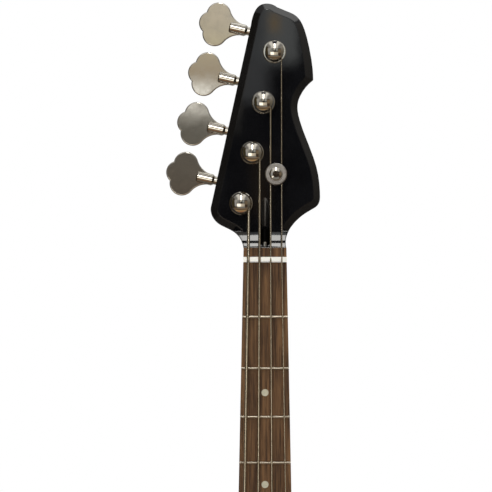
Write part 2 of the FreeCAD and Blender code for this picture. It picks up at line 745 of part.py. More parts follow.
def make_truss_nut():
    """Barrel nut on the rod's end, with a hexagon socket for the wrench."""
    end = TRUSS_NUT_START_Z + TRUSS_NUT_LENGTH
    profile = [(0, 0), (TRUSS_NUT_RADIUS, 0), (TRUSS_NUT_RADIUS, TRUSS_NUT_LENGTH - TRUSS_NUT_CHAMFER),
               (TRUSS_NUT_RADIUS - TRUSS_NUT_CHAMFER, TRUSS_NUT_LENGTH), (0, TRUSS_NUT_LENGTH)]
    nut = turned(profile, Vec(0, TRUSS_Y, TRUSS_NUT_START_Z), ALONG_Z)
    bore = rod(TRUSS_ROD_RADIUS + RUNNING_FIT, Vec(0, TRUSS_Y, TRUSS_NUT_START_Z - 1),
               Vec(0, TRUSS_Y, TRUSS_ROD_END_Z + FREE_GAP))
    middle = Vec(0, TRUSS_Y, end)
    corners = []
    for side in range(6):
        angle = math.pi * side / 3
        corners.append(middle + Vec(math.cos(angle), math.sin(angle), 0) * TRUSS_NUT_SOCKET)
    socket = polygon(corners).extrude(ALONG_Z * (TRUSS_ROD_END_Z + FREE_GAP - end))
    return nut.cut(bore).cut(socket)


# Fingerboard

def board_cylinder(lift, z0, z1):
    """Cylinder whose front is the fingerboard's curve, raised by a lift."""
    return Part.makeCylinder(FINGERBOARD_RADIUS + lift, z1 - z0, Vec(0, CURVE_CENTRE, z0), ALONG_Z)


def tapered_slab(z0, z1, y0, y1, margin=0.0):
    """Prism as wide as the neck all along, with a margin at each side."""
    low = neck_half_width(z0) + margin
    high = neck_half_width(z1) + margin
    corners = [Vec(-low, y0, z0), Vec(low, y0, z0), Vec(high, y0, z1), Vec(-high, y0, z1)]
    return polygon(corners).extrude(Vec(0, y1 - y0, 0))


def fret_ring(profile, number, inset):
    """Profile of (depth, height) points bent round the fingerboard's curve across its width."""
    z = fret_z(number)
    reach = math.degrees(math.asin((neck_half_width(z) - inset) / FINGERBOARD_RADIUS))
    face = polygon([Vec(0, BOARD_TOP + depth, z + height) for depth, height in profile])
    centre = Vec(0, CURVE_CENTRE, z)
    face.rotate(centre, ALONG_Z, -reach)
    return face.revolve(centre, ALONG_Z, 2 * reach)


def make_frets():
    """Frets with a rounded crown and a tang that sits in its slot."""
    half = FRET_WIDTH / 2
    tang = FRET_TANG_WIDTH / 2
    steps = 8
    crown = [(-FRET_HEIGHT * math.sin(math.pi * step / steps), half * math.cos(math.pi * step / steps))
             for step in range(1, steps)]
    profile = [(0, half)] + crown + [(0, -half), (0, -tang), (FRET_TANG_DEPTH, -tang),
                                     (FRET_TANG_DEPTH, tang), (0, tang)]
    return [fret_ring(profile, number, FRET_END_INSET) for number in range(1, FRET_COUNT + 1)]


def marked_fields():
    """Fret number and height of the middle of each field that has a marker."""
    return [(number, (fret_z(number) + fret_z(number - 1)) / 2)
            for number in SINGLE_DOT_FRETS + (DOUBLE_DOT_FRET,)]


def dot_cylinders(extra):
    """Cylinders of the face inlays, larger and deeper by an extra for their holes."""
    floor = BOARD_TOP + DOT_DEPTH + extra
    pieces = []
    for number, z in marked_fields():
        offsets = (-DOT_PAIR_OFFSET, DOT_PAIR_OFFSET) if number == DOUBLE_DOT_FRET else (0,)
        pieces += [rod(DOT_RADIUS + extra, Vec(x, floor, z), Vec(x, BOARD_TOP - 1, z)) for x in offsets]
    return pieces


def side_dot_cylinders(extra):
    """Cylinders of the edge markers on the thick strings' side."""
    level = BOARD_TOP + SIDE_DOT_LEVEL
    pieces = []
    for _, z in marked_fields():
        edge = -neck_half_width(z)
        inner = Vec(edge + SIDE_DOT_DEPTH + extra, level, z)
        pieces.append(rod(SIDE_DOT_RADIUS + extra, inner, Vec(edge - 1, level, z)))
    return pieces


def make_fingerboard():
    """Curved fingerboard with its fret slots, inlay holes, the nut's seat and a low shelf behind it."""
    board = tapered_slab(BOARD_END_Z, RAMP_TOP_Z, BOARD_TOP - 1, NECK_FRONT)
    board = board.common(board_cylinder(0, BOARD_END_Z - 1, RAMP_TOP_Z + 1))
    half = FRET_TANG_WIDTH / 2 + SEAT_FIT / 2
    depth = FRET_TANG_DEPTH + SEAT_FIT
    slot = [(-1, -half), (depth, -half), (depth, half), (-1, half)]
    cuts = [fret_ring(slot, number, -1) for number in range(1, FRET_COUNT + 1)]
    cuts += dot_cylinders(SEAT_FIT) + side_dot_cylinders(SEAT_FIT)
    cuts.append(box(-HEEL_WIDTH, HEEL_WIDTH, BOARD_TOP - 2, BOARD_TOP + NUT_SEAT_DEPTH,
                    NUT_Z, NUT_Z + NUT_THICKNESS))
    cuts.append(box(-HEEL_WIDTH, HEEL_WIDTH, BOARD_TOP - 2, BOARD_TOP + NUT_SHELF_DROP,
                    NUT_Z + NUT_THICKNESS / 2, RAMP_FOOT_Z))
    return board.cut(cuts)


def make_dots():
    """Face inlays flush with the curved top, and edge markers flush with the side."""
    curve = board_cylinder(0, BOARD_END_Z, NUT_Z)
    slab = tapered_slab(BOARD_END_Z, NUT_Z, BOARD_TOP, NECK_FRONT)
    face_dots = [dot.common(curve) for dot in dot_cylinders(0)]
    return face_dots + [dot.common(slab) for dot in side_dot_cylinders(0)]


def string_slot(index):
    """Round-bottomed slot, open to the front, that falls from the nut's front towards the headstock."""
    bend, ahead = string_corners(index)[3:5]
    along = (ahead - bend).normalize()
    radius = STRING_DIAMETERS[index] / 2 + STRING_SLOT_GAP
    side = along.cross(ALONG_Y).normalize()
    front = along.cross(side).normalize()
    if front.y > 0:
        front = -front
    start = bend - along * NUT_THICKNESS
    left = start - side * radius
    right = start + side * radius
    rise = front * 2 * NUT_THICKNESS
    edges = [Part.Arc(left, start - front * radius, right).toShape()]
    walls = [right, right + rise, left + rise, left]
    edges += [Part.LineSegment(first, last).toShape() for first, last in zip(walls, walls[1:])]
    return Part.Face(Part.Wire(edges)).extrude(along * 4 * NUT_THICKNESS)


def make_nut():
    """Nut with a curved top, an eased front edge and a round slot for each string."""
    top = STRING_LIFT_NUT + NUT_ABOVE_STRING_SEAT
    front = BOARD_TOP - top
    slab = tapered_slab(NUT_Z, NUT_Z + NUT_THICKNESS, front - 1, BOARD_TOP + NUT_SEAT_DEPTH)
    slab = slab.common(board_cylinder(top, NUT_Z - 1, NUT_Z + NUT_THICKNESS + 1))
    eased = front + NUT_FRONT_CHAMFER
    chamfer = [(front - 2, NUT_Z - 1), (eased, NUT_Z - 1), (eased, NUT_Z),
               (front, NUT_Z + NUT_FRONT_CHAMFER), (front - 2, NUT_Z + NUT_FRONT_CHAMFER)]
    slab = slab.cut(across(chamfer, HEEL_WIDTH))
    return slab.cut([string_slot(index) for index in STRINGS])


# Strings

def winding_radius(index):
    """Radius of the middle of a string's turns on its post."""
    return POST_RADIUS + FREE_GAP + STRING_DIAMETERS[index] / 2


def winding_start(index, last):
    """Point and angle where a string that comes from a last point first touches its post."""
    post = tuner_place(index).Base
    away = Vec(last.x - post.x, 0, last.z - post.z)
    angle = math.atan2(away.z, away.x) + math.acos(winding_radius(index) / away.Length)
    height = BUSHING_FLANGE_HEIGHT + FREE_GAP + STRING_DIAMETERS[index] / 2 + WINDING_DIPS[index]
    return winding_point(index, angle, height), angle


def winding_point(index, angle, height):
    """Point on a string's turns at an angle from X towards Z and a height above the headstock's face."""
    post = tuner_place(index).Base
    radius = winding_radius(index)
    return Vec(post.x + radius * math.cos(angle), HEAD_FACE - height, post.z + radius * math.sin(angle))


def string_corners(index):
    """Corner points of a string: ball end, bridge wall, behind the saddle, nut, string tree, post."""
    saddle = string_at_saddle(index)
    nut = string_at_nut(index)
    along = (nut - saddle).normalize()
    hole = BODY_FRONT - BRIDGE_STRING_HOLE_LIFT
    behind = saddle - along * SADDLE_BREAK
    ball = Vec(behind.x, hole, WALL_Z - BRIDGE_WALL_THICKNESS - BALL_LENGTH / 2)
    wall = Vec(behind.x, hole, WALL_Z + 2)
    bend = nut + along * NUT_BREAK
    corners = [ball, wall, behind, bend]
    if STRING_NAMES[index] in STRINGS_UNDER_TREE:
        under = TREE_DISC_BOTTOM - STRING_SLOT_GAP - STRING_DIAMETERS[index] / 2
        corners.append(Vec(nut.x, HEAD_FACE - under, NUT_Z + TREE_HEIGHT - TREE_RADIUS))
    return corners + [winding_start(index, corners[-1])[0]]


def winding_edges(index):
    """Turns of a string on its post as quarter turns, with a straight end one diameter long."""
    corners = string_corners(index)
    tangent = (corners[-1] - corners[-2]).normalize()
    start, angle = winding_start(index, corners[-2])
    radius = winding_radius(index)
    quarter = math.pi * radius / 2
    climb = WINDING_PITCHES[index] / (4 * quarter)
    height = HEAD_FACE - start.y
    edges = []
    for step in range(WINDING_QUARTERS[index]):
        rise = (climb - tangent.y) / 2 if step == 0 else climb
        height += rise * quarter
        angle += math.pi / 2
        end = winding_point(index, angle, height)
        end_tangent = Vec(-math.sin(angle), -climb, math.cos(angle)).normalize()
        edges += biarc(start, tangent, end, end_tangent)
        start = end
        tangent = end_tangent
    edges.append(Part.LineSegment(start, start + tangent * STRING_DIAMETERS[index]).toShape())
    return edges


def make_string(index):
    """String from its ball end over saddle and nut to the turns on its post."""
    corners = string_corners(index)
    diameter = STRING_DIAMETERS[index]
    turns = winding_edges(index)
    run = rounded_route(corners, STRING_BEND_RADIUS)
    gap = least_gap(run[-1:] + turns, diameter)
    print("string", STRING_NAMES[index], "least gap between its turns", round(gap, 2), "mm")
    wire = tube(run + turns, diameter / 2)
    back = Vec(corners[0].x, corners[0].y, WALL_Z - BRIDGE_WALL_THICKNESS)
    return wire.fuse(rod(BALL_RADIUS, back - ALONG_Z * BALL_LENGTH, back))


# Tuning machines, drawn at the local origin

def make_post():
    """Post with a flared, domed cap, a tail for the gear and a riveted end."""
    rivet = HEAD_FACE - WORM_Y - GEAR_WIDTH / 2
    shoulder = HEAD_FACE - TUNER_BACK
    rim = POST_CAP_BOTTOM + POST_CAP_RIM
    profile = [
        (0, rivet - POST_RIVET_HEIGHT), (POST_RIVET_RADIUS, rivet - POST_RIVET_HEIGHT),
        (POST_RIVET_RADIUS, rivet), (POST_TAIL_RADIUS, rivet), (POST_TAIL_RADIUS, shoulder),
        (POST_RADIUS, shoulder), (POST_RADIUS, POST_CAP_BOTTOM - POST_FLARE_HEIGHT),
        (POST_CAP_RADIUS, POST_CAP_BOTTOM), (0, POST_CAP_BOTTOM),
    ]
    stem = turned(profile, Vec(0, HEAD_FACE, 0), -ALONG_Y)
    dome = (POST_CAP_RADIUS ** 2 + POST_DOME_HEIGHT ** 2) / (2 * POST_DOME_HEIGHT)
    base = Vec(0, HEAD_FACE - POST_CAP_BOTTOM, 0)
    top = Vec(0, HEAD_FACE - rim - POST_DOME_HEIGHT, 0)
    cap = rod(POST_CAP_RADIUS, base, top).common(Part.makeSphere(dome, top + ALONG_Y * dome))
    cap = cap.makeFillet(POST_CAP_ROUND, rim_edges(cap, HEAD_FACE - rim))
    return stem.fuse(cap).removeSplitter()


def make_bushing():
    """Flanged bushing that the post turns in."""
    bore = POST_RADIUS + RUNNING_FIT
    chamfer = BUSHING_FLANGE_HEIGHT / 3
    profile = [(bore, -BUSHING_LENGTH), (BUSHING_RADIUS, -BUSHING_LENGTH), (BUSHING_RADIUS, 0),
               (BUSHING_FLANGE_RADIUS, 0), (BUSHING_FLANGE_RADIUS, BUSHING_FLANGE_HEIGHT - chamfer),
               (BUSHING_FLANGE_RADIUS - chamfer, BUSHING_FLANGE_HEIGHT), (bore, BUSHING_FLANGE_HEIGHT)]
    return turned(profile, Vec(0, HEAD_FACE, 0), -ALONG_Y)


def gear_wire(level, turn):
    """Toothed outline of the gear at one level, turned by an angle, with a gap towards the worm."""
    root = GEAR_PITCH_RADIUS - TOOTH_DEDENDUM
    tip = GEAR_PITCH_RADIUS + TOOTH_ADDENDUM
    points = []
    for tooth in range(GEAR_TEETH):
        middle = turn + (tooth + 0.5) * 2 * math.pi / GEAR_TEETH
        for radius, half in ((root, -TOOTH_HALF_ROOT), (tip, -TOOTH_HALF_TIP),
                             (tip, TOOTH_HALF_TIP), (root, TOOTH_HALF_ROOT)):
            angle = middle + half / radius
            points.append(Vec(radius * math.sin(angle), level, radius * math.cos(angle)))
    return Part.makePolygon(points + points[:1])


def make_gear():
    """Gear with teeth slanted to the worm's lead, and a hub that runs against the plate."""
    slant = GEAR_WIDTH / 2 * WORM_LEAD / (2 * math.pi * WORM_PITCH_RADIUS) / GEAR_PITCH_RADIUS
    front = WORM_Y - GEAR_WIDTH / 2
    back = WORM_Y + GEAR_WIDTH / 2
    gear = Part.makeLoft([gear_wire(front, -slant), gear_wire(back, slant)], True, True)
    hub = rod(GEAR_HUB_RADIUS, Vec(0, TUNER_BACK + RUNNING_FIT, 0), Vec(0, WORM_Y, 0))
    bore = rod(POST_TAIL_RADIUS + SEAT_FIT, Vec(0, TUNER_BACK - 1, 0), Vec(0, back + 1, 0))
    return gear.fuse(hub).cut(bore)


def make_worm():
    """Single-start worm and its shaft, which runs in both lugs and ends in the key's stem."""
    root = WORM_PITCH_RADIUS - TOOTH_DEDENDUM
    tip = WORM_PITCH_RADIUS + TOOTH_ADDENDUM
    buried = 0.3
    base_half = TOOTH_HALF_ROOT + buried * FLANK_SLOPE
    helix = Part.makeHelix(WORM_LEAD, WORM_LENGTH, WORM_PITCH_RADIUS)
    section = [Vec(root - buried, 0, -base_half), Vec(tip, 0, -TOOTH_HALF_TIP),
               Vec(tip, 0, TOOTH_HALF_TIP), Vec(root - buried, 0, base_half)]
    thread = Part.Wire(helix).makePipeShell([Part.makePolygon(section + section[:1])], True, True)
    thread.translate(ALONG_Z * (-WORM_LENGTH / 2))
    core = rod(root, ALONG_Z * -WORM_CORE_HALF, ALONG_Z * WORM_CORE_HALF)
    shaft = rod(WORM_SHAFT_RADIUS, ALONG_Z * -LUG_OUTER, ALONG_Z * (STEM_START + WORM_SHAFT_IN_STEM))
    worm = thread.multiFuse([core, shaft])
    turn = FreeCAD.Matrix(0, 0, -1, 0, 0, -1, 0, WORM_Y, -1, 0, 0, WORM_OFFSET, 0, 0, 0, 1)
    worm.Placement = FreeCAD.Placement(turn)
    return worm


def key_outline():
    """Clover outline of a key, with a flare that narrows into the hub."""
    lobe_out = KEY_SIDE_LOBE_OUT
    lobe_up = KEY_SIDE_LOBE_UP
    lobe = KEY_SIDE_LOBE_RADIUS
    rise = lobe_up - KEY_FLARE_HALF
    run = lobe_out - KEY_FLARE_START
    flare = (run ** 2 + rise ** 2 - lobe ** 2) / (2 * (lobe + rise))
    flare_up = KEY_FLARE_HALF + flare
    flare_angle = math.atan2(flare_up - lobe_up, KEY_FLARE_START - lobe_out)
    span = math.hypot(KEY_END_LOBE_OUT - lobe_out, lobe_up)
    lean = math.atan2(-lobe_up, KEY_END_LOBE_OUT - lobe_out)
    along = (lobe ** 2 - KEY_END_LOBE_RADIUS ** 2 + span ** 2) / (2 * span)
    notch_angle = lean + math.acos(along / lobe)
    notch_out = lobe_out + lobe * math.cos(notch_angle)
    notch_up = lobe_up + lobe * math.sin(notch_angle)
    middle = (flare_angle + notch_angle) / 2
    bow = (-math.pi / 2 + flare_angle - math.pi) / 2

    def at(out, up):
        return Vec(-out, 0, WORM_OFFSET + up)

    def on_lobe(angle, sign):
        return at(lobe_out + lobe * math.cos(angle), sign * (lobe_up + lobe * math.sin(angle)))

    foot = Part.LineSegment(at(KEY_FLARE_START, -KEY_FLARE_HALF), at(KEY_FLARE_START, KEY_FLARE_HALF))
    edges = [foot.toShape()]
    for sign in (1, -1):
        waist = at(KEY_FLARE_START + flare * math.cos(bow), sign * (flare_up + flare * math.sin(bow)))
        edges.append(Part.Arc(at(KEY_FLARE_START, sign * KEY_FLARE_HALF), waist,
                              on_lobe(flare_angle, sign)).toShape())
        edges.append(Part.Arc(on_lobe(flare_angle, sign), on_lobe(middle, sign),
                              on_lobe(notch_angle, sign)).toShape())
    end = at(KEY_END_LOBE_OUT + KEY_END_LOBE_RADIUS, 0)
    edges.append(Part.Arc(at(notch_out, notch_up), end, at(notch_out, -notch_up)).toShape())
    return Part.Wire(Part.__sortEdges__(edges))


def make_key():
    """Flat clover key on a thick hub, and its stem that is bored for the worm's shaft."""
    front = WORM_Y - KEY_THICKNESS / 2
    back = WORM_Y + KEY_THICKNESS / 2
    blade = plate(key_outline(), front, back)
    rims = rim_edges(blade, front) + rim_edges(blade, back)
    blade = blade.makeFillet(KEY_EDGE_ROUND, [edge for edge in rims if edge.BoundBox.XLength > 1])
    profile = [(0, STEM_START), (STEM_RADIUS, STEM_START), (STEM_RADIUS, HUB_START),
               (HUB_RADIUS, HUB_START + HUB_CHAMFER_LENGTH), (HUB_RADIUS, HUB_END - HUB_END_CHAMFER),
               (HUB_RADIUS - HUB_END_CHAMFER, HUB_END), (0, HUB_END)]
    stem = turned(profile, Vec(0, WORM_Y, WORM_OFFSET), -ALONG_X)
    bore = rod(WORM_SHAFT_RADIUS + SEAT_FIT, Vec(-STEM_START + 1, WORM_Y, WORM_OFFSET),
               Vec(-STEM_START - WORM_SHAFT_IN_STEM - SEAT_FIT, WORM_Y, WORM_OFFSET))
    return blade.fuse(stem).cut(bore)


def make_tuner_plate():
    """Back plate with two lugs that carry the worm."""
    length = TUNER_PLATE_BELOW + TUNER_PLATE_ABOVE
    middle = (TUNER_PLATE_ABOVE - TUNER_PLATE_BELOW) / 2
    base = rounded_plate(TUNER_PLATE_WIDTH, length, TUNER_PLATE_CORNER, 0, middle, HEAD_BACK, TUNER_BACK)
    lugs = []
    for inner, outer in ((LUG_INNER, LUG_OUTER), (-LUG_OUTER, -LUG_INNER)):
        lugs.append(box(inner, outer, HEAD_BACK, WORM_Y, WORM_OFFSET - TUNER_LUG_RADIUS,
                        WORM_OFFSET + TUNER_LUG_RADIUS))
        lugs.append(rod(TUNER_LUG_RADIUS, Vec(inner, WORM_Y, WORM_OFFSET), Vec(outer, WORM_Y, WORM_OFFSET)))
    axis = Vec(0, WORM_Y, WORM_OFFSET)
    reach = ALONG_X * 2 * LUG_OUTER
    holes = [rod(WORM_SHAFT_RADIUS + RUNNING_FIT, axis - reach, axis + reach),
             rod(POST_RADIUS + RUNNING_FIT, Vec(0, HEAD_BACK - 1, 0), Vec(0, TUNER_BACK + 1, 0))]
    home = tuner_place(0).inverse()
    for base_point in tuner_screw_places()[:4]:
        place = home.multVec(base_point)
        holes.append(rod(SMALL_SCREW_RADIUS + SEAT_FIT, place - ALONG_Y * 5, place + ALONG_Y * 5))
    return base.multiFuse(lugs).cut(holes).removeSplitter()


# String tree

def tree_screw_base():
    """Point on the tree's disc where its screw head stands."""
    return Vec(TREE_X, HEAD_FACE - TREE_DISC_BOTTOM - TREE_DISC_THICKNESS, NUT_Z + TREE_HEIGHT)


def make_tree():
    """Round string tree: a disc that holds two strings down, on a hub between them."""
    top = TREE_DISC_BOTTOM + TREE_DISC_THICKNESS
    bore = TREE_SCREW_RADIUS + SEAT_FIT
    profile = [(bore, 0), (TREE_HUB_RADIUS, 0), (TREE_HUB_RADIUS, TREE_DISC_BOTTOM),
               (TREE_RADIUS - TREE_EDGE_ROUND, TREE_DISC_BOTTOM),
               (TREE_RADIUS, TREE_DISC_BOTTOM + TREE_EDGE_ROUND), (TREE_RADIUS, top - TREE_EDGE_ROUND),
               (TREE_RADIUS - TREE_EDGE_ROUND, top), (bore, top)]
    return turned(profile, Vec(TREE_X, HEAD_FACE, NUT_Z + TREE_HEIGHT), -ALONG_Y)


# Body

def outline_wire(places):
    """Closed smooth outline through (x, height above the tail) places."""
    return Part.Wire(spline([Vec(x, 0, TAIL_Z + height) for x, height in places], True))


def knob_points():
    """Middles of the knobs on the body's front."""
    return [Vec(x, BODY_FRONT, TAIL_Z + height) for x, height in KNOB_PLACES]


def button_seats():
    """Seat and outward direction of each strap button."""
    horn_x, horn_height = HORN_TIP
    horn = Vec(horn_x, 0, TAIL_Z + horn_height - BUTTON_SEAT_DEPTH)
    return [(Vec(0, 0, END_SEAT_Z), -ALONG_Z), (horn, ALONG_Z)]


def control_places():
    """Knob places as points above the origin, for the cavity and its cover."""
    return [(x, TAIL_Z + height) for x, height in KNOB_PLACES]


def body_cuts():
    """Pocket, cavities, channels, seats and holes of the body."""
    reach = TAIL_Z + max(height for _, height in BODY_OUTLINE)
    pocket = tapered_slab(BOARD_END_Z - POCKET_GAP, reach, BODY_FRONT - 1, POCKET_FLOOR, POCKET_GAP)
    cuts = [pocket]
    for position in PICKUP_POSITIONS:
        gap = 2 * PICKUP_GAP
        cuts.append(rounded_plate(PICKUP_LENGTH + gap, PICKUP_WIDTH + gap, PICKUP_CORNER + PICKUP_GAP, 0,
                                  SADDLE_Z + position, BODY_FRONT - 1, PICKUP_FLOOR))
    cuts.append(capsule_chain(control_places(), CONTROL_CAVITY_RADIUS, CONTROL_FLOOR, BODY_BACK + 1))
    cuts.append(capsule_chain(control_places(), CONTROL_CAVITY_RADIUS + CONTROL_COVER_MARGIN,
                              BODY_BACK - CONTROL_COVER_THICKNESS, BODY_BACK + 1))
    channel_y = PICKUP_FLOOR - WIRE_CHANNEL_RADIUS
    inside = PICKUP_LENGTH / 2 - PICKUP_CORNER
    for position, knob in zip(PICKUP_POSITIONS, reversed(knob_points()[:2])):
        start = Vec(inside, channel_y, SADDLE_Z + position)
        cuts.append(rod(WIRE_CHANNEL_RADIUS, start, Vec(knob.x, channel_y, knob.z)))
    for knob in knob_points():
        inner = knob + ALONG_Y * (CONTROL_TOP_WALL + 1)
        cuts.append(rod(POT_BUSHING_RADIUS + SEAT_FIT, knob - ALONG_Y, inner))
    jack_seat = Vec(JACK_SEAT_X, 0, JACK_Z)
    sleeve_end = Vec(jack_mouth() - JACK_SLEEVE_LENGTH, 0, JACK_Z)
    cuts.append(rod(JACK_SEAT_RADIUS, jack_seat, jack_seat + ALONG_X * 20))
    cuts.append(rod(JACK_SLEEVE_RADIUS + SEAT_FIT, sleeve_end, jack_seat))
    cuts.append(rod(JACK_CUP_RADIUS + SEAT_FIT, Vec(KNOB_PLACES[-1][0], 0, JACK_Z), sleeve_end))
    for seat, outward in button_seats():
        cuts.append(rod(BUTTON_HEAD_RADIUS, seat, seat + outward * 5))
        cuts.append(pilot(BUTTON_SCREW_RADIUS, seat, -outward, BUTTON_SCREW_LENGTH))
    for base in neck_screw_places():
        cuts.append(pilot(NECK_SCREW_RADIUS, base, -ALONG_Y, NECK_SCREW_LENGTH))
    for base, direction, length in small_screw_places():
        cuts.append(pilot(SMALL_SCREW_RADIUS, base, direction, length))
    for base in bridge_screw_places():
        cuts.append(pilot(BRIDGE_SCREW_RADIUS, base, ALONG_Y, BRIDGE_SCREW_LENGTH))
    return cuts


def make_body():
    """Solid body with two horns and well rounded edges."""
    slab = plate(outline_wire(BODY_OUTLINE), BODY_FRONT, BODY_BACK)
    slab = slab.makeFillet(BODY_EDGE_ROUND, rim_edges(slab, BODY_FRONT) + rim_edges(slab, BODY_BACK))
    for cutter in body_cuts():
        slab = slab.cut(cutter)
    return slab


def make_pickguard():
    """Pickguard round the neck's end."""
    guard = plate(outline_wire(PICKGUARD_OUTLINE), BODY_FRONT - PICKGUARD_THICKNESS, BODY_FRONT)
    reach = TAIL_Z + max(height for _, height in BODY_OUTLINE)
    cuts = [tapered_slab(BOARD_END_Z - PICKGUARD_NECK_GAP, reach, BOARD_TOP, BODY_FRONT + 1,
                         PICKGUARD_NECK_GAP)]
    for x, height in PICKGUARD_SCREWS:
        base = Vec(x, BODY_FRONT, TAIL_Z + height)
        cuts.append(rod(SMALL_SCREW_RADIUS + SEAT_FIT, base - ALONG_Y * 5, base + ALONG_Y))
    return guard.cut(cuts)


def small_screw_places():
    """Head seat, direction and length of the screws in the pickguard, control cover and pickups."""
    guard = BODY_FRONT - PICKGUARD_THICKNESS
    places = [(Vec(x, guard, TAIL_Z + height), ALONG_Y, SMALL_SCREW_LENGTH)
              for x, height in PICKGUARD_SCREWS]
    places += [(Vec(x, BODY_BACK, TAIL_Z + height), -ALONG_Y, SMALL_SCREW_LENGTH)
               for x, height in COVER_SCREWS]
    reach = PICKUP_LENGTH / 2 - PICKUP_SCREW_INSET
    for position in PICKUP_POSITIONS:
        for x in (-reach, reach):
            places.append((Vec(x, PICKUP_TOP, SADDLE_Z + position), ALONG_Y, PICKUP_SCREW_LENGTH))
    return places


def make_neck_plate():
    """Steel plate that spreads the load of the neck screws."""
    back = BODY_BACK + NECK_PLATE_THICKNESS
    base = rounded_plate(NECK_PLATE_WIDTH, NECK_PLATE_LENGTH, NECK_PLATE_CORNER, 0, NECK_PLATE_Z,
                         BODY_BACK, back)
    holes = [pilot(NECK_SCREW_RADIUS, place, -ALONG_Y, NECK_SCREW_LENGTH) for place in neck_screw_places()]
    return base.cut(holes)


# Bridge

def bridge_screw_places():
    """Middles of the bridge screws on top of the base plate."""
    first = -(BRIDGE_SCREW_COUNT - 1) / 2 * BRIDGE_SCREW_PITCH
    z = SADDLE_Z + BRIDGE_AHEAD_OF_SADDLE - BRIDGE_SCREW_INSET
    return [Vec(first + number * BRIDGE_SCREW_PITCH, BRIDGE_TOP, z) for number in range(BRIDGE_SCREW_COUNT)]


def make_bridge_plate():
    """Base plate with its rear wall, which holds the string ends and the intonation screws."""
    half = BRIDGE_WIDTH / 2
    rear = WALL_Z - BRIDGE_WALL_THICKNESS
    base = box(-half, half, BRIDGE_TOP, BODY_FRONT, rear, SADDLE_Z + BRIDGE_AHEAD_OF_SADDLE)
    wall = box(-half, half, BODY_FRONT - BRIDGE_WALL_HEIGHT, BODY_FRONT, rear, WALL_Z)
    shape = base.fuse(wall).removeSplitter()
    wall_top = BODY_FRONT - BRIDGE_WALL_HEIGHT
    shape = shape.makeFillet(BRIDGE_EDGE_ROUND, rim_edges(shape, wall_top))
    holes = [pilot(BRIDGE_SCREW_RADIUS, place, ALONG_Y, BRIDGE_SCREW_LENGTH)
             for place in bridge_screw_places()]
    for index in STRINGS:
        ball = string_corners(index)[0]
        radius = STRING_DIAMETERS[index] / 2 + BRIDGE_STRING_HOLE_GAP
        holes.append(rod(radius, ball, Vec(ball.x, ball.y, WALL_Z + 1)))
        x = string_at_saddle(index).x
        holes.append(rod(INTONATION_SCREW_RADIUS + SEAT_FIT, Vec(x, INTONATION_Y, rear - 1),
                         Vec(x, INTONATION_Y, WALL_Z + 1)))
    return shape.cut(holes)


def make_saddle(index):
    """Saddle block with a groove for its string, and its two height screws."""
    crest = string_at_saddle(index)
    low = BRIDGE_TOP - SADDLE_FLOAT
    profile = [(low, -SADDLE_BEHIND), (low, SADDLE_AHEAD), (crest.y + SADDLE_NOSE_DROP, SADDLE_AHEAD),
               (crest.y, SADDLE_CREST_AHEAD), (crest.y, -SADDLE_CREST_BEHIND),
               (crest.y + SADDLE_BACK_DROP, -SADDLE_BEHIND)]
    block = across([(y, SADDLE_Z + z) for y, z in profile], SADDLE_WIDTH / 2)
    block.translate(ALONG_X * crest.x)
    reach = SADDLE_BEHIND + SADDLE_AHEAD
    groove = STRING_DIAMETERS[index] / 2 + SADDLE_GROOVE_GAP
    along = (string_at_nut(index) - crest).normalize()
    cuts = [rod(groove, crest - along * reach, crest + along * reach),
            rod(INTONATION_SCREW_RADIUS + SEAT_FIT, Vec(crest.x, INTONATION_Y, SADDLE_Z - reach),
                Vec(crest.x, INTONATION_Y, SADDLE_Z + reach))]
    screws = []
    for side in (-HEIGHT_SCREW_OFFSET, HEIGHT_SCREW_OFFSET):
        foot = Vec(crest.x + side, BRIDGE_TOP - RUNNING_FIT, SADDLE_Z)
        head = Vec(foot.x, crest.y + 1, SADDLE_Z)
        screws.append(rod(HEIGHT_SCREW_RADIUS, foot, head))
        cuts.append(rod(HEIGHT_SCREW_RADIUS + SEAT_FIT, foot, head - ALONG_Y * 2))
    return [block.cut(cuts)] + screws


def make_intonation_screw(index):
    """Screw that sets a saddle's place along its string."""
    base = Vec(string_at_saddle(index).x, INTONATION_Y, WALL_Z - BRIDGE_WALL_THICKNESS)
    return screw(INTONATION_HEAD_RADIUS, INTONATION_HEAD_HEIGHT, INTONATION_SCREW_RADIUS,
                 INTONATION_SCREW_LENGTH, base, ALONG_Z)


def make_intonation_spring(index):
    """Spring between the bridge's wall and a saddle, round its screw."""
    x = string_at_saddle(index).x
    low = WALL_Z + SPRING_WIRE_RADIUS + FREE_GAP
    high = SADDLE_Z - SADDLE_BEHIND - SPRING_WIRE_RADIUS - FREE_GAP
    quarters = 4 * SPRING_TURNS
    rise = (high - low) / quarters
    slope = rise / (math.pi * SPRING_RADIUS / 2)
    nodes = []
    for step in range(quarters + 1):
        angle = math.pi / 2 * step
        point = Vec(x + SPRING_RADIUS * math.cos(angle), INTONATION_Y + SPRING_RADIUS * math.sin(angle),
                    low + rise * step)
        nodes.append((point, Vec(-math.sin(angle), math.cos(angle), slope).normalize()))
    edges = []
    for (start, start_tangent), (end, end_tangent) in zip(nodes, nodes[1:]):
        edges += biarc(start, start_tangent, end, end_tangent)
    if index == 0:
        gap = least_gap(edges, 2 * SPRING_WIRE_RADIUS)
        print("spring least gap between its turns", round(gap, 2), "mm")
    return tube(edges, SPRING_WIRE_RADIUS)


# Pickups

def pole_places(position):
    """Middles of a pickup's pole pieces, a pair under each string."""
    z = SADDLE_Z + position
    places = []
    for index in STRINGS:
        share = position / SCALE_LENGTH
        x = string_at_saddle(index).x * (1 - share) + string_at_nut(index).x * share
        places += [(x - POLE_SPREAD, z), (x + POLE_SPREAD, z)]
    return places


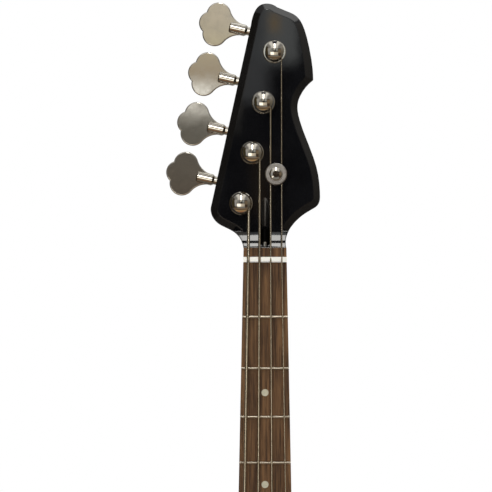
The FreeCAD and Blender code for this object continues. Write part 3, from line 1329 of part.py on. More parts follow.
def make_pickup(position):
    """Cover, coil and pole pieces of one pickup."""
    z = SADDLE_Z + position
    cover = rounded_plate(PICKUP_LENGTH, PICKUP_WIDTH, PICKUP_CORNER, 0, z, PICKUP_TOP, PICKUP_FLOOR)
    cover = cover.makeFillet(PICKUP_EDGE_ROUND, rim_edges(cover, PICKUP_TOP))
    half_length = PICKUP_LENGTH / 2 - PICKUP_END_BLOCK
    half_width = PICKUP_WIDTH / 2 - PICKUP_WALL
    roof = PICKUP_TOP + PICKUP_WALL
    hollow = box(-half_length, half_length, roof, PICKUP_FLOOR + 1, z - half_width, z + half_width)
    coil = box(-half_length + PICKUP_GAP, half_length - PICKUP_GAP, roof, PICKUP_FLOOR,
               z - half_width + PICKUP_GAP, z + half_width - PICKUP_GAP)
    poles = [rod(POLE_RADIUS, Vec(x, PICKUP_TOP - POLE_PROUD, z), Vec(x, PICKUP_FLOOR, z))
             for x, z in pole_places(position)]
    holes = [rod(POLE_RADIUS + SEAT_FIT, Vec(x, PICKUP_TOP - 1, z), Vec(x, PICKUP_FLOOR + 1, z))
             for x, z in pole_places(position)]
    reach = PICKUP_LENGTH / 2 - PICKUP_SCREW_INSET
    drills = [pilot(SMALL_SCREW_RADIUS, Vec(x, PICKUP_TOP, z), ALONG_Y, PICKUP_SCREW_LENGTH)
              for x in (-reach, reach)]
    return cover.cut(hollow).cut(holes).cut(drills), coil.cut(holes), poles


# Controls and jack

def make_pot(knob):
    """Pot case with its threaded bushing, and the nut that holds it."""
    bore = POT_SHAFT_RADIUS + RUNNING_FIT
    top = CONTROL_TOP_WALL + POT_BUSHING_PROUD
    profile = [(0, -POT_HEIGHT), (POT_RADIUS, -POT_HEIGHT), (POT_RADIUS, 0), (POT_BUSHING_RADIUS, 0),
               (POT_BUSHING_RADIUS, top), (bore, top), (bore, -POT_SHAFT_DEPTH), (0, -POT_SHAFT_DEPTH)]
    case = turned(profile, Vec(knob.x, CONTROL_FLOOR, knob.z), -ALONG_Y)
    corners = []
    for side in range(6):
        angle = math.pi * side / 3
        corners.append(knob + Vec(POT_NUT_RADIUS * math.cos(angle), 0, POT_NUT_RADIUS * math.sin(angle)))
    nut = polygon(corners).extrude(ALONG_Y * -POT_NUT_HEIGHT)
    return [case, nut.cut(rod(POT_BUSHING_RADIUS + SEAT_FIT, knob + ALONG_Y, knob - ALONG_Y * 10))]


def make_knob(knob):
    """Grooved knob with a pointer line, and the pot's shaft inside it."""
    bore = POT_SHAFT_RADIUS + SEAT_FIT
    skirt = KNOB_RADIUS - KNOB_WALL
    deep = KNOB_HEIGHT - KNOB_CROWN
    profile = [(bore, KNOB_HOLLOW), (skirt, KNOB_HOLLOW), (skirt, 0), (KNOB_RADIUS, 0),
               (KNOB_RADIUS, deep + KNOB_CROWN / 2), (KNOB_RADIUS - KNOB_CROWN / 2, KNOB_HEIGHT),
               (0, KNOB_HEIGHT), (0, deep), (bore, deep)]
    base = knob - ALONG_Y * KNOB_FLOAT
    top = base - ALONG_Y * KNOB_HEIGHT
    grip = turned(profile, base, -ALONG_Y)
    cuts = []
    for groove in range(KNOB_GROOVES):
        angle = 2 * math.pi * groove / KNOB_GROOVES
        edge = Vec(KNOB_RADIUS * math.cos(angle), 0, KNOB_RADIUS * math.sin(angle))
        cuts.append(rod(KNOB_GROOVE_RADIUS, base + edge - ALONG_Y * KNOB_CROWN, top + edge - ALONG_Y))
    half = KNOB_POINTER_WIDTH / 2
    cuts.append(box(top.x - half, top.x + half, top.y - 1, top.y + KNOB_POINTER_DEPTH, top.z + bore,
                    top.z + KNOB_RADIUS - KNOB_CROWN / 2))
    shaft_end = Vec(knob.x, CONTROL_FLOOR + POT_SHAFT_DEPTH - FREE_GAP, knob.z)
    shaft = rod(POT_SHAFT_RADIUS, shaft_end, base - ALONG_Y * (deep - SEAT_FIT))
    return [grip.cut(cuts), shaft]


def make_control_cover():
    """Flush cover of the control cavity on the back."""
    radius = CONTROL_CAVITY_RADIUS + CONTROL_COVER_MARGIN - CONTROL_COVER_GAP
    cover = capsule_chain(control_places(), radius, BODY_BACK - CONTROL_COVER_THICKNESS, BODY_BACK)
    holes = [rod(SMALL_SCREW_RADIUS + SEAT_FIT, Vec(x, BODY_BACK - 5, TAIL_Z + height),
                 Vec(x, BODY_BACK + 1, TAIL_Z + height)) for x, height in COVER_SCREWS]
    return cover.cut(holes)


def make_capacitor():
    """Tone capacitor on the back of the tone pot's case."""
    tone = knob_points()[-1]
    level = CONTROL_FLOOR + POT_HEIGHT + CAPACITOR_RADIUS + SEAT_FIT
    start = Vec(tone.x - CAPACITOR_LENGTH / 2, level, tone.z)
    return rod(CAPACITOR_RADIUS, start, start + ALONG_X * CAPACITOR_LENGTH)


def bowed_wire(start, end):
    """Wire in one arc between two points, bowed towards the cover."""
    middle = (start + end) * 0.5 + ALONG_Y * WIRE_BOW
    return tube([Part.Arc(start, middle, end).toShape()], WIRE_RADIUS)


def make_wires():
    """Wires from pot to pot and from the last pot to the output jack."""
    back = ALONG_Y * (CONTROL_FLOOR - BODY_FRONT + POT_HEIGHT + WIRE_RADIUS)
    knobs = knob_points()
    wires = []
    for start, end in zip(knobs, knobs[1:]):
        along = (end - start).normalize() * POT_RADIUS / 2
        wires.append(bowed_wire(start + along + back, end - along + back))
    cup_end = jack_mouth() - JACK_SLEEVE_LENGTH - JACK_CUP_LENGTH
    cup = Vec(cup_end - WIRE_RADIUS, 0, JACK_Z + JACK_CUP_RADIUS - WIRE_RADIUS)
    last = knobs[-1] + back + ALONG_Z * POT_RADIUS / 2
    wires.append(bowed_wire(last, cup))
    return wires


def jack_mouth():
    """Place along X of the jack's mouth."""
    return JACK_SEAT_X + JACK_NUT_THICKNESS + JACK_SLEEVE_PROUD


def make_jack():
    """Output jack: a threaded sleeve with a plain bore, and the cup behind it."""
    rear = -JACK_SLEEVE_LENGTH
    inner = JACK_CUP_RADIUS - JACK_CUP_WALL
    profile = [(JACK_BORE_RADIUS, 0), (JACK_SLEEVE_RADIUS, 0), (JACK_SLEEVE_RADIUS, rear),
               (JACK_CUP_RADIUS, rear), (JACK_CUP_RADIUS, rear - JACK_CUP_LENGTH),
               (inner, rear - JACK_CUP_LENGTH),
               (inner, rear - JACK_CUP_WALL), (JACK_BORE_RADIUS, rear - JACK_CUP_WALL)]
    return turned(profile, Vec(jack_mouth(), 0, JACK_Z), ALONG_X)


def make_jack_nut():
    """Round nut that holds the jack in the body's side."""
    ease = JACK_NUT_THICKNESS / 4
    bore = JACK_SLEEVE_RADIUS + SEAT_FIT
    profile = [(bore, 0), (JACK_NUT_RADIUS, 0), (JACK_NUT_RADIUS, JACK_NUT_THICKNESS - ease),
               (JACK_NUT_RADIUS - ease, JACK_NUT_THICKNESS), (bore, JACK_NUT_THICKNESS)]
    return turned(profile, Vec(JACK_SEAT_X, 0, JACK_Z), ALONG_X)


# Strap buttons

def make_strap_button(seat, outward):
    """Waisted button with a recess for its screw's head."""
    bore = BUTTON_SCREW_RADIUS + SEAT_FIT
    recess = BUTTON_SCREW_HEAD_RADIUS + SEAT_FIT
    head = BUTTON_HEIGHT - BUTTON_HEAD_THICKNESS
    floor = BUTTON_HEIGHT - BUTTON_SCREW_HEAD_HEIGHT
    profile = [(bore, 0), (BUTTON_BASE_RADIUS, 0), (BUTTON_BASE_RADIUS, BUTTON_BASE_THICKNESS),
               (BUTTON_WAIST_RADIUS, BUTTON_BASE_THICKNESS + BUTTON_FLARE),
               (BUTTON_WAIST_RADIUS, head - BUTTON_FLARE), (BUTTON_HEAD_RADIUS, head),
               (BUTTON_HEAD_RADIUS, BUTTON_HEIGHT), (recess, BUTTON_HEIGHT), (recess, floor), (bore, floor)]
    return turned(profile, seat, outward)


def make_button_screw(seat, outward):
    """Screw that holds a strap button."""
    floor = seat + outward * (BUTTON_HEIGHT - BUTTON_SCREW_HEAD_HEIGHT)
    return screw(BUTTON_SCREW_HEAD_RADIUS, BUTTON_SCREW_HEAD_HEIGHT, BUTTON_SCREW_RADIUS,
                 BUTTON_SCREW_LENGTH, floor, -outward)


# All pieces

def export_neck():
    """Neck, fingerboard and what is set into them."""
    export("neck", [make_neck()])
    export("fingerboard", [make_fingerboard()])
    export("nut", [make_nut()])
    export("frets", make_frets())
    export("position_dots", make_dots())
    export("truss_rod", [make_truss_rod()])
    export("truss_rod_nut", [make_truss_nut()])
    export("string_tree", [make_tree()])
    export("string_tree_screw", [screw(TREE_SCREW_HEAD_RADIUS, TREE_SCREW_HEAD_HEIGHT, TREE_SCREW_RADIUS,
                                       TREE_SCREW_LENGTH, tree_screw_base(), ALONG_Y)])


def export_tuners():
    """Tuning machines and the strings that they wind."""
    moving = {"tuner_key": make_key(), "tuner_worm": make_worm(), "tuner_post": make_post(),
              "tuner_gear": make_gear()}
    for index in STRINGS:
        for name, solid in moving.items():
            export(name + "_" + STRING_NAMES[index], [at_tuner(solid, index)])
        export("string_" + STRING_NAMES[index], [make_string(index)])
    back = make_tuner_plate()
    bushing = make_bushing()
    export("tuner_plates", [at_tuner(back, index) for index in STRINGS])
    export("tuner_bushings", [at_tuner(bushing, index) for index in STRINGS])
    export("tuner_screws", [small_screw(place, -ALONG_Y, TUNER_SCREW_LENGTH)
                            for place in tuner_screw_places()])


def export_body():
    """Body, pickguard and the hardware that is screwed to them."""
    export("body", [make_body()])
    export("pickguard", [make_pickguard()])
    export("small_screws", [small_screw(*place) for place in small_screw_places()])
    export("neck_plate", [make_neck_plate()])
    export("neck_screws", [screw(NECK_SCREW_HEAD_RADIUS, NECK_SCREW_HEAD_HEIGHT, NECK_SCREW_RADIUS,
                                 NECK_SCREW_LENGTH, place, -ALONG_Y) for place in neck_screw_places()])
    export("strap_buttons", [make_strap_button(*seat) for seat in button_seats()])
    export("strap_button_screws", [make_button_screw(*seat) for seat in button_seats()])


def export_bridge():
    """Bridge with its saddles, screws and springs."""
    export("bridge_plate", [make_bridge_plate()])
    export("bridge_screws", [screw(BRIDGE_SCREW_HEAD_RADIUS, BRIDGE_SCREW_HEAD_HEIGHT, BRIDGE_SCREW_RADIUS,
                                   BRIDGE_SCREW_LENGTH, place, ALONG_Y) for place in bridge_screw_places()])
    for index in STRINGS:
        export("saddle_" + STRING_NAMES[index], make_saddle(index))
    export("intonation_screws", [make_intonation_screw(index) for index in STRINGS])
    export("intonation_springs", [make_intonation_spring(index) for index in STRINGS])


def export_electrics():
    """Pickups, controls and the output jack."""
    covers = []
    coils = []
    poles = []
    for position in PICKUP_POSITIONS:
        cover, coil, pieces = make_pickup(position)
        covers.append(cover)
        coils.append(coil)
        poles += pieces
    export("pickup_covers", covers)
    export("pickup_coils", coils)
    export("pickup_poles", poles)
    pots = []
    for name, knob in zip(KNOB_NAMES, knob_points()):
        pots += make_pot(knob)
        export(name, make_knob(knob))
    export("pots", pots)
    export("control_cover", [make_control_cover()])
    export("tone_capacitor", [make_capacitor()])
    export("hookup_wires", make_wires())
    export("output_jack", [make_jack()])
    export("output_jack_nut", [make_jack_nut()])


os.makedirs("parts", exist_ok=True)
export_neck()
export_tuners()
export_body()
export_bridge()
export_electrics()
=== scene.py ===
"""Studio scene and finishes for a four-string electric bass guitar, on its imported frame."""
import json
import math

import bpy
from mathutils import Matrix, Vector


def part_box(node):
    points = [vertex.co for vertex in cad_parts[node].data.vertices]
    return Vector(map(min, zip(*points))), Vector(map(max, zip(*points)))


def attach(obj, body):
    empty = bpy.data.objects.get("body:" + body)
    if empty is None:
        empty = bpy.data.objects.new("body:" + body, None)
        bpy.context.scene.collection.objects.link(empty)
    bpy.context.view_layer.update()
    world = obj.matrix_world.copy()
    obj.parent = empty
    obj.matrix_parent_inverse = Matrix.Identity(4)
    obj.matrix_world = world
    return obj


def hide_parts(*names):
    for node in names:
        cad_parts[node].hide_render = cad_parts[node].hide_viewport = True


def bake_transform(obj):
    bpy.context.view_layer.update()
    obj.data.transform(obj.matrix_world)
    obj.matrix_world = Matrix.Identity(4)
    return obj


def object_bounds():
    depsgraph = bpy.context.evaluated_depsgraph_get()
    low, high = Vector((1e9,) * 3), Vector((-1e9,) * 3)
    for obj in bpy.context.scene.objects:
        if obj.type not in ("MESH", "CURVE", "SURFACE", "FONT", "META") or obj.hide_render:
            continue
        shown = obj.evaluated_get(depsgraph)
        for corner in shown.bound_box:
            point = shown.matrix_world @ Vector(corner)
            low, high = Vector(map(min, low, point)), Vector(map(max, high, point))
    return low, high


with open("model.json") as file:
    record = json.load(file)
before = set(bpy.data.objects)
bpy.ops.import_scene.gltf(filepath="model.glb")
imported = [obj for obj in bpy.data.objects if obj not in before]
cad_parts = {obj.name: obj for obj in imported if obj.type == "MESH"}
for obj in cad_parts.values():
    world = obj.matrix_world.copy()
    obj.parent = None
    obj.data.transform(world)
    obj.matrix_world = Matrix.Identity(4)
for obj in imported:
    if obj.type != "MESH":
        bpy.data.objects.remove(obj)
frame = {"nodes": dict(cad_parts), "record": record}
CAD_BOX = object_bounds()

bl_info = {
    "name": "Electric Bass Finish",
    "version": (1, 0, 0),
    "blender": (4, 5, 0),
    "location": "View3D > Sidebar > Bass",
    "description": "Finishes, small fittings and studio for an electric bass guitar",
    "category": "Object",
}

STRING_NAMES = ("e", "a", "d", "g")
KNOBS = ("neck_volume_knob", "bridge_volume_knob", "tone_knob")

# Turns of an intonation spring, steps in a turn and sides of its wire
SPRING_TURNS = 8
SPRING_STEPS = 24
SPRING_SIDES = 12

# Small fittings, in metres and radians
POINTER_FROM_AXIS = 0.0033
POINTER_FROM_RIM = 0.0018
POINTER_DEPTH = 0.00035
POINTER_RECESS = 0.00003
POINTER_EDGE = 0.0001
GEAR_SCREW_HEIGHT = 0.0011
GEAR_SCREW_SLOT_TURN = math.radians(20)
SMOOTH_ANGLE = math.radians(35)

# Metals by material slot: name, colour, least and most roughness, fineness and depth of the brushed lines
PLAIN_METALS = (
    ("satin_nickel", "satin nickel", (0.5, 0.48, 0.465, 1), 0.36, 0.5, 0.8, 0.06),
    ("black_steel", "blackened steel", (0.006, 0.006, 0.0065, 1), 0.4, 0.55, 1.0, 0.05),
    ("fret_metal", "nickel silver frets", (0.74, 0.67, 0.55, 1), 0.28, 0.42, 1.2, 0.05),
    ("steel", "bright steel", (0.56, 0.56, 0.55, 1), 0.22, 0.4, 1.0, 0.08),
    ("brass", "plain brass", (0.72, 0.52, 0.22, 1), 0.2, 0.36, 1.0, 0.08),
)

# Plastics by material slot: name, colour, least and most roughness, depth of the skin's grain
MOULDED_PLASTICS = (
    ("black_plastic", "satin black plastic", (0.014, 0.014, 0.014, 1), 0.28, 0.42, 0.12),
    ("capacitor_film", "dipped capacitor", (0.4, 0.12, 0.03, 1), 0.15, 0.25, 0.05),
    ("wire_cover", "waxed wire cover", (0.02, 0.02, 0.02, 1), 0.5, 0.7, 0.4),
)

# Studio: sizes in metres, places in metres from the point that the camera aims at, and strengths
FLOOR_SIZE = 4
FLOOR_GAP = 0.002
FRONT_CARD_Y = -2.7
FRONT_CARD_DROP = -0.2
FRONT_CARD_HEIGHT = 2.4
FRONT_CARD_STRENGTH = 2.0
LAMP_STRENGTH = 8.5
ROOM_STRENGTH = 1.0
WALL_SIDE = 2.0
WALL_SIZE = (3.6, 2.9)
WALL_HALF = WALL_SIZE[1] / 2
TOP_LIGHT_PLACE = Vector((0, -0.35, 1.5))
TOP_LIGHT_SIZE = (1.4, 0.8)
FRONT_LIGHT_PLACE = Vector((-0.9, -1.9, 0.9))
FRONT_LIGHT_SIZE = (0.9, 0.9)

# Width of the camera's sensor, in millimetres
SENSOR_WIDTH = 36


# Places read from the frame

def middle(node):
    """Middle of a node's box."""
    low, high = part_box(node)
    return (Vector(low) + Vector(high)) / 2


BOARD_TOP_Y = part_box("fingerboard")[0][1]
NUT_FRONT_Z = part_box("nut")[0][2]
LOWEST_Z = CAD_BOX[0][2]


# Settings that a user would change

class BassFinish(bpy.types.PropertyGroup):
    """Colours of the bass's finishes."""

    lacquer: bpy.props.FloatVectorProperty(
        name="Lacquer", description="Colour of the body's and headstock's gloss lacquer",
        subtype="COLOR", size=4, min=0, max=1, default=(0.0035, 0.0035, 0.004, 1))
    rosewood_light: bpy.props.FloatVectorProperty(
        name="Rosewood, light", description="Light streaks of the fingerboard",
        subtype="COLOR", size=4, min=0, max=1, default=(0.185, 0.092, 0.036, 1))
    rosewood_dark: bpy.props.FloatVectorProperty(
        name="Rosewood, dark", description="Dark streaks of the fingerboard",
        subtype="COLOR", size=4, min=0, max=1, default=(0.05, 0.024, 0.0105, 1))
    nickel: bpy.props.FloatVectorProperty(
        name="Nickel", description="Colour of the polished plating",
        subtype="COLOR", size=4, min=0, max=1, default=(0.68, 0.645, 0.58, 1))
    bone: bpy.props.FloatVectorProperty(
        name="Bone", description="Colour of the nut",
        subtype="COLOR", size=4, min=0, max=1, default=(0.98, 0.92, 0.83, 1))
    guard: bpy.props.FloatVectorProperty(
        name="Pickguard", description="Colour of the pickguard's face",
        subtype="COLOR", size=4, min=0, max=1, default=(0.78, 0.77, 0.71, 1))
    streak_length: bpy.props.FloatProperty(
        name="Grain length", description="Length of a streak in the fingerboard's grain",
        subtype="DISTANCE", unit="LENGTH", min=0.01, default=0.09)


class BassFittings(bpy.types.PropertyGroup):
    """Sizes of the small fittings."""

    washer_inner: bpy.props.FloatProperty(
        name="Washer bore", description="Inner radius of the felt ring round a strap button's waist",
        subtype="DISTANCE", unit="LENGTH", min=0.001, default=0.0041)
    washer_outer: bpy.props.FloatProperty(
        name="Washer radius", description="Outer radius of the felt ring",
        subtype="DISTANCE", unit="LENGTH", min=0.001, default=0.0064)
    washer_thickness: bpy.props.FloatProperty(
        name="Washer thickness", description="Thickness of the felt ring",
        subtype="DISTANCE", unit="LENGTH", min=0.0002, default=0.0016)
    washer_below_head: bpy.props.FloatProperty(
        name="Washer depth", description="Distance from the middle of a button's head to the felt ring",
        subtype="DISTANCE", unit="LENGTH", min=0.001, default=0.0079)
    pointer_width: bpy.props.FloatProperty(
        name="Pointer width", description="Width of the line on a knob",
        subtype="DISTANCE", unit="LENGTH", min=0.0002, default=0.0009)
    gear_screw_radius: bpy.props.FloatProperty(
        name="Gear screw radius", description="Radius of the slotted screw that holds a tuner's gear",
        subtype="DISTANCE", unit="LENGTH", min=0.0005, default=0.0036)
    spring_wire: bpy.props.FloatProperty(
        name="Spring wire", description="Thickness of an intonation spring's wire",
        subtype="DISTANCE", unit="LENGTH", min=0.0002, default=0.0008)


class BassStudio(bpy.types.PropertyGroup):
    """Camera and light."""

    camera_distance: bpy.props.FloatProperty(
        name="Camera distance", description="Distance from the camera to the fingerboard",
        subtype="DISTANCE", unit="LENGTH", min=0.1, default=1.35)
    frame_width: bpy.props.FloatProperty(
        name="Frame width", description="Width of the picture at the fingerboard",
        subtype="DISTANCE", unit="LENGTH", min=0.05, default=0.4371)
    aim_left: bpy.props.FloatProperty(
        name="Aim left", description="How far left of the neck's middle the picture is centred",
        subtype="DISTANCE", unit="LENGTH", default=0.0169)
    aim_above_nut: bpy.props.FloatProperty(
        name="Aim above nut", description="How far above the nut the picture is centred",
        subtype="DISTANCE", unit="LENGTH", default=0.0145)
    room_light: bpy.props.FloatProperty(
        name="Room light", description="Strength of the even light from the room",
        min=0, default=0.55)
    top_light: bpy.props.FloatProperty(
        name="Top light", description="Power of the softbox above the headstock",
        subtype="POWER", min=0, default=16)
    front_light: bpy.props.FloatProperty(
        name="Front light", description="Power of the softbox in front",
        subtype="POWER", min=0, default=14)


# Node helpers

def add_node(tree, kind, place=(0, 0), **values):
    """New shader node whose input sockets or settings get the given values."""
    node = tree.nodes.new(kind)
    node.location = place
    for name, value in values.items():
        socket = node.inputs.get(name.replace("_", " ").title())
        if socket is None:
            setattr(node, name, value)
        else:
            socket.default_value = value
    return node


def object_point(tree, scale=(1, 1, 1)):
    """Object coordinates, stretched by a scale."""
    source = add_node(tree, "ShaderNodeTexCoord", (-1000, 0))
    mapping = add_node(tree, "ShaderNodeMapping", (-800, 0))
    mapping.inputs["Scale"].default_value = scale
    tree.links.new(source.outputs["Object"], mapping.inputs["Vector"])
    return mapping.outputs["Vector"]


def noise(tree, point, scale, detail=4.0, roughness=0.55):
    """Value noise on a point."""
    node = add_node(tree, "ShaderNodeTexNoise", (-600, 0), scale=scale, detail=detail, roughness=roughness)
    tree.links.new(point, node.inputs["Vector"])
    return node.outputs["Fac"]


def remap(tree, value, low, high, to_low, to_high):
    """Value moved from one range to another, and kept inside it."""
    node = add_node(tree, "ShaderNodeMapRange", (-400, 0))
    for name, number in (("From Min", low), ("From Max", high), ("To Min", to_low), ("To Max", to_high)):
        node.inputs[name].default_value = number
    tree.links.new(value, node.inputs["Value"])
    return node.outputs["Result"]


def mix_colours(tree, factor, first, second):
    """Colour between two others; each is a socket or a plain colour."""
    node = tree.nodes.new("ShaderNodeMix")
    node.data_type = "RGBA"
    node.location = (-200, 0)
    tree.links.new(factor, node.inputs["Factor"])
    for name, value in (("A", first), ("B", second)):
        socket = [item for item in node.inputs if item.name == name and item.type == "RGBA"][0]
        if isinstance(value, bpy.types.NodeSocket):
            tree.links.new(value, socket)
        else:
            socket.default_value = value
    return [item for item in node.outputs if item.type == "RGBA"][0]


def combine(tree, operation, first, second):
    """Sum, product or other operation on two values; each is a socket or a number."""
    node = tree.nodes.new("ShaderNodeMath")
    node.operation = operation
    node.location = (-300, -200)
    for socket, value in zip(node.inputs, (first, second)):
        if isinstance(value, bpy.types.NodeSocket):
            tree.links.new(value, socket)
        else:
            socket.default_value = value
    return node.outputs["Value"]


def bump(tree, height, strength, distance):
    """Normal of a bumpy surface."""
    node = add_node(tree, "ShaderNodeBump", (-150, -300), strength=strength, distance=distance)
    tree.links.new(height, node.inputs["Height"])
    return node.outputs["Normal"]


def new_group(name, inputs, outputs):
    """Empty shader group with float or colour sockets, its tree, input node and output node."""
    group = bpy.data.node_groups.new(name, "ShaderNodeTree")
    for label, kind, value in inputs:
        socket = group.interface.new_socket(label, in_out="INPUT", socket_type=kind)
        socket.default_value = value
    for label, kind in outputs:
        group.interface.new_socket(label, in_out="OUTPUT", socket_type=kind)
    start = group.nodes.new("NodeGroupInput")
    end = group.nodes.new("NodeGroupOutput")
    start.location = (-1200, 0)
    end.location = (400, 0)
    return group, start, end


def use_group(tree, name, **values):
    """Place a group in a material with its own values."""
    node = tree.nodes.new("ShaderNodeGroup")
    node.node_tree = bpy.data.node_groups[name]
    node.location = (-600, 200)
    for label, value in values.items():
        node.inputs[label.replace("_", " ").title()].default_value = value
    return node


# Shared effects

def make_handling_marks():
    """Cloudy roughness of a polished surface that hands have touched."""
    number = "NodeSocketFloat"
    group, start, end = new_group(
        "Handling Marks", [("Scale", number, 60.0), ("Least", number, 0.05), ("Most", number, 0.15)],
        [("Roughness", number), ("Mask", number)])
    cloud = add_node(group, "ShaderNodeTexNoise", (-600, 0), detail=5.0, roughness=0.6)
    group.links.new(object_point(group), cloud.inputs["Vector"])
    group.links.new(start.outputs["Scale"], cloud.inputs["Scale"])
    mask = remap(group, cloud.outputs["Fac"], 0.35, 0.68, 0.0, 1.0)
    spread = combine(group, "SUBTRACT", start.outputs["Most"], start.outputs["Least"])
    rough = combine(group, "MULTIPLY", mask, spread)
    group.links.new(combine(group, "ADD", rough, start.outputs["Least"]), end.inputs["Roughness"])
    group.links.new(mask, end.inputs["Mask"])


def make_brushed_lines():
    """Fine lines across X and along Z that a polishing wheel leaves."""
    number = "NodeSocketFloat"
    group, start, end = new_group("Brushed Lines", [("Fineness", number, 1.0)], [("Height", number)])
    lines = add_node(group, "ShaderNodeTexNoise", (-600, 0), detail=3.0, roughness=0.7)
    group.links.new(object_point(group, (2600, 2600, 60)), lines.inputs["Vector"])
    group.links.new(start.outputs["Fineness"], lines.inputs["Scale"])
    group.links.new(lines.outputs["Fac"], end.inputs["Height"])


def make_timber_grain():
    """Streaks and open pores of a dark tropical wood that runs along Z."""
    colour = "NodeSocketColor"
    number = "NodeSocketFloat"
    group, start, end = new_group(
        "Timber Grain",
        [("Light", colour, (0.2, 0.1, 0.05, 1)), ("Dark", colour, (0.05, 0.03, 0.02, 1)),
         ("Stretch", number, 11.0)],
        [("Colour", colour), ("Pores", number), ("Roughness", number)])
    source = add_node(group, "ShaderNodeTexCoord", (-1400, 0))
    parts = add_node(group, "ShaderNodeSeparateXYZ", (-1200, -200))
    group.links.new(source.outputs["Object"], parts.inputs["Vector"])
    along = combine(group, "MULTIPLY", parts.outputs["Z"], start.outputs["Stretch"])

    def stretched(across, share):
        joined = add_node(group, "ShaderNodeCombineXYZ", (-900, -200))
        group.links.new(combine(group, "MULTIPLY", parts.outputs["X"], across), joined.inputs["X"])
        group.links.new(combine(group, "MULTIPLY", parts.outputs["Y"], across), joined.inputs["Y"])
        group.links.new(combine(group, "MULTIPLY", along, share), joined.inputs["Z"])
        return joined.outputs["Vector"]

    broad = noise(group, stretched(130, 1.0), 1.0, 3.0, 0.5)
    fine = noise(group, stretched(520, 1.6), 1.0, 5.0, 0.65)
    hair = noise(group, stretched(1900, 5.0), 1.0, 2.0, 0.5)
    streaks = combine(group, "MULTIPLY", broad, 0.3)
    blend = combine(group, "ADD", streaks, combine(group, "MULTIPLY", fine, 0.7))
    tone = remap(group, blend, 0.4, 0.6, 0.0, 1.0)
    pore = remap(group, hair, 0.55, 0.66, 0.0, 1.0)
    wood = mix_colours(group, tone, start.outputs["Dark"], start.outputs["Light"])
    shade = combine(group, "MULTIPLY", pore, 0.55)
    group.links.new(mix_colours(group, shade, wood, (0.022, 0.012, 0.008, 1)), end.inputs["Colour"])
    group.links.new(combine(group, "SUBTRACT", 1.0, pore), end.inputs["Pores"])
    group.links.new(remap(group, tone, 0.0, 1.0, 0.62, 0.48), end.inputs["Roughness"])


# Materials

class Recipe:
    """A material in the making, with its tree and its Principled shader."""

    def __init__(self, name, **values):
        self.material = bpy.data.materials.new(name)
        self.material.use_nodes = True
        self.tree = self.material.node_tree
        self.tree.nodes.clear()
        self.shader = add_node(self.tree, "ShaderNodeBsdfPrincipled", (100, 0))
        output = add_node(self.tree, "ShaderNodeOutputMaterial", (400, 0))
        self.tree.links.new(self.shader.outputs["BSDF"], output.inputs["Surface"])
        for label, value in values.items():
            self.shader.inputs[label.replace("_", " ").title().replace("Ior", "IOR")].default_value = value

    def feed(self, label, socket):
        """Drive one of the shader's sockets."""
        self.tree.links.new(socket, self.shader.inputs[label])

    def marks(self, scale, least, most):
        """Roughness from handling, with the mask that it comes from."""
        group = use_group(self.tree, "Handling Marks", scale=scale, least=least, most=most)
        self.feed("Roughness", group.outputs["Roughness"])
        return group.outputs["Mask"]

    def tint(self, mask, first, second):
        """Base colour between two colours by a mask."""
        self.feed("Base Color", mix_colours(self.tree, mask, first, second))


def scaled(colour, share):
    """Colour made lighter or darker."""
    return tuple(min(1.0, channel * share) for channel in colour[:3]) + (1,)


def gloss_lacquer(finish):
    """Deep gloss lacquer over wood."""
    recipe = Recipe("black gloss lacquer", ior=1.6)
    tree = recipe.tree
    mask = recipe.marks(28, 0.03, 0.06)
    recipe.tint(mask, tuple(finish.lacquer), scaled(finish.lacquer, 1.7))
    edges = add_node(tree, "ShaderNodeBevel", (-400, -500), radius=0.0014)
    ripple = add_node(tree, "ShaderNodeBump", (-150, -300), strength=0.02, distance=0.0006)
    tree.links.new(noise(tree, object_point(tree), 55, 2.0), ripple.inputs["Height"])
    tree.links.new(edges.outputs["Normal"], ripple.inputs["Normal"])
    recipe.feed("Normal", ripple.outputs["Normal"])
    return recipe.material


def rosewood(finish):
    """Oiled rosewood with open pores."""
    recipe = Recipe("oiled rosewood", specular_ior_level=0.25)
    tree = recipe.tree
    grain = use_group(tree, "Timber Grain", light=tuple(finish.rosewood_light),
                      dark=tuple(finish.rosewood_dark), stretch=1 / finish.streak_length)
    recipe.feed("Base Color", grain.outputs["Colour"])
    recipe.feed("Roughness", grain.outputs["Roughness"])
    recipe.feed("Normal", bump(tree, grain.outputs["Pores"], 0.25, 0.0002))
    return recipe.material


def polished_nickel(finish):
    """Polished nickel plate with faint smears."""
    recipe = Recipe("polished nickel", metallic=1.0)
    mask = recipe.marks(90, 0.04, 0.1)
    recipe.tint(mask, tuple(finish.nickel), scaled(finish.nickel, 0.9))
    lines = use_group(recipe.tree, "Brushed Lines", fineness=1.0)
    recipe.feed("Normal", bump(recipe.tree, lines.outputs["Height"], 0.02, 0.0002))
    return recipe.material


def plain_metal(name, colour, least, most, fineness, depth):
    """Metal with brushed lines and uneven polish."""
    recipe = Recipe(name, metallic=1.0)
    mask = recipe.marks(140, least, most)
    recipe.tint(mask, colour, scaled(colour, 0.78))
    lines = use_group(recipe.tree, "Brushed Lines", fineness=fineness)
    recipe.feed("Normal", bump(recipe.tree, lines.outputs["Height"], depth, 0.0002))
    return recipe.material


def wound_string():
    """Round wrap wire, whose turns follow each other along the string."""
    recipe = Recipe("wound string", metallic=1.0)
    tree = recipe.tree
    mask = recipe.marks(300, 0.18, 0.26)
    recipe.tint(mask, (0.62, 0.55, 0.44, 1), (0.54, 0.48, 0.38, 1))
    wave = add_node(tree, "ShaderNodeTexWave", (-600, -300), scale=420.0, distortion=0.0)
    wave.bands_direction = "Z"
    tree.links.new(object_point(tree), wave.inputs["Vector"])
    recipe.feed("Normal", bump(tree, wave.outputs["Fac"], 0.02, 0.0002))
    return recipe.material


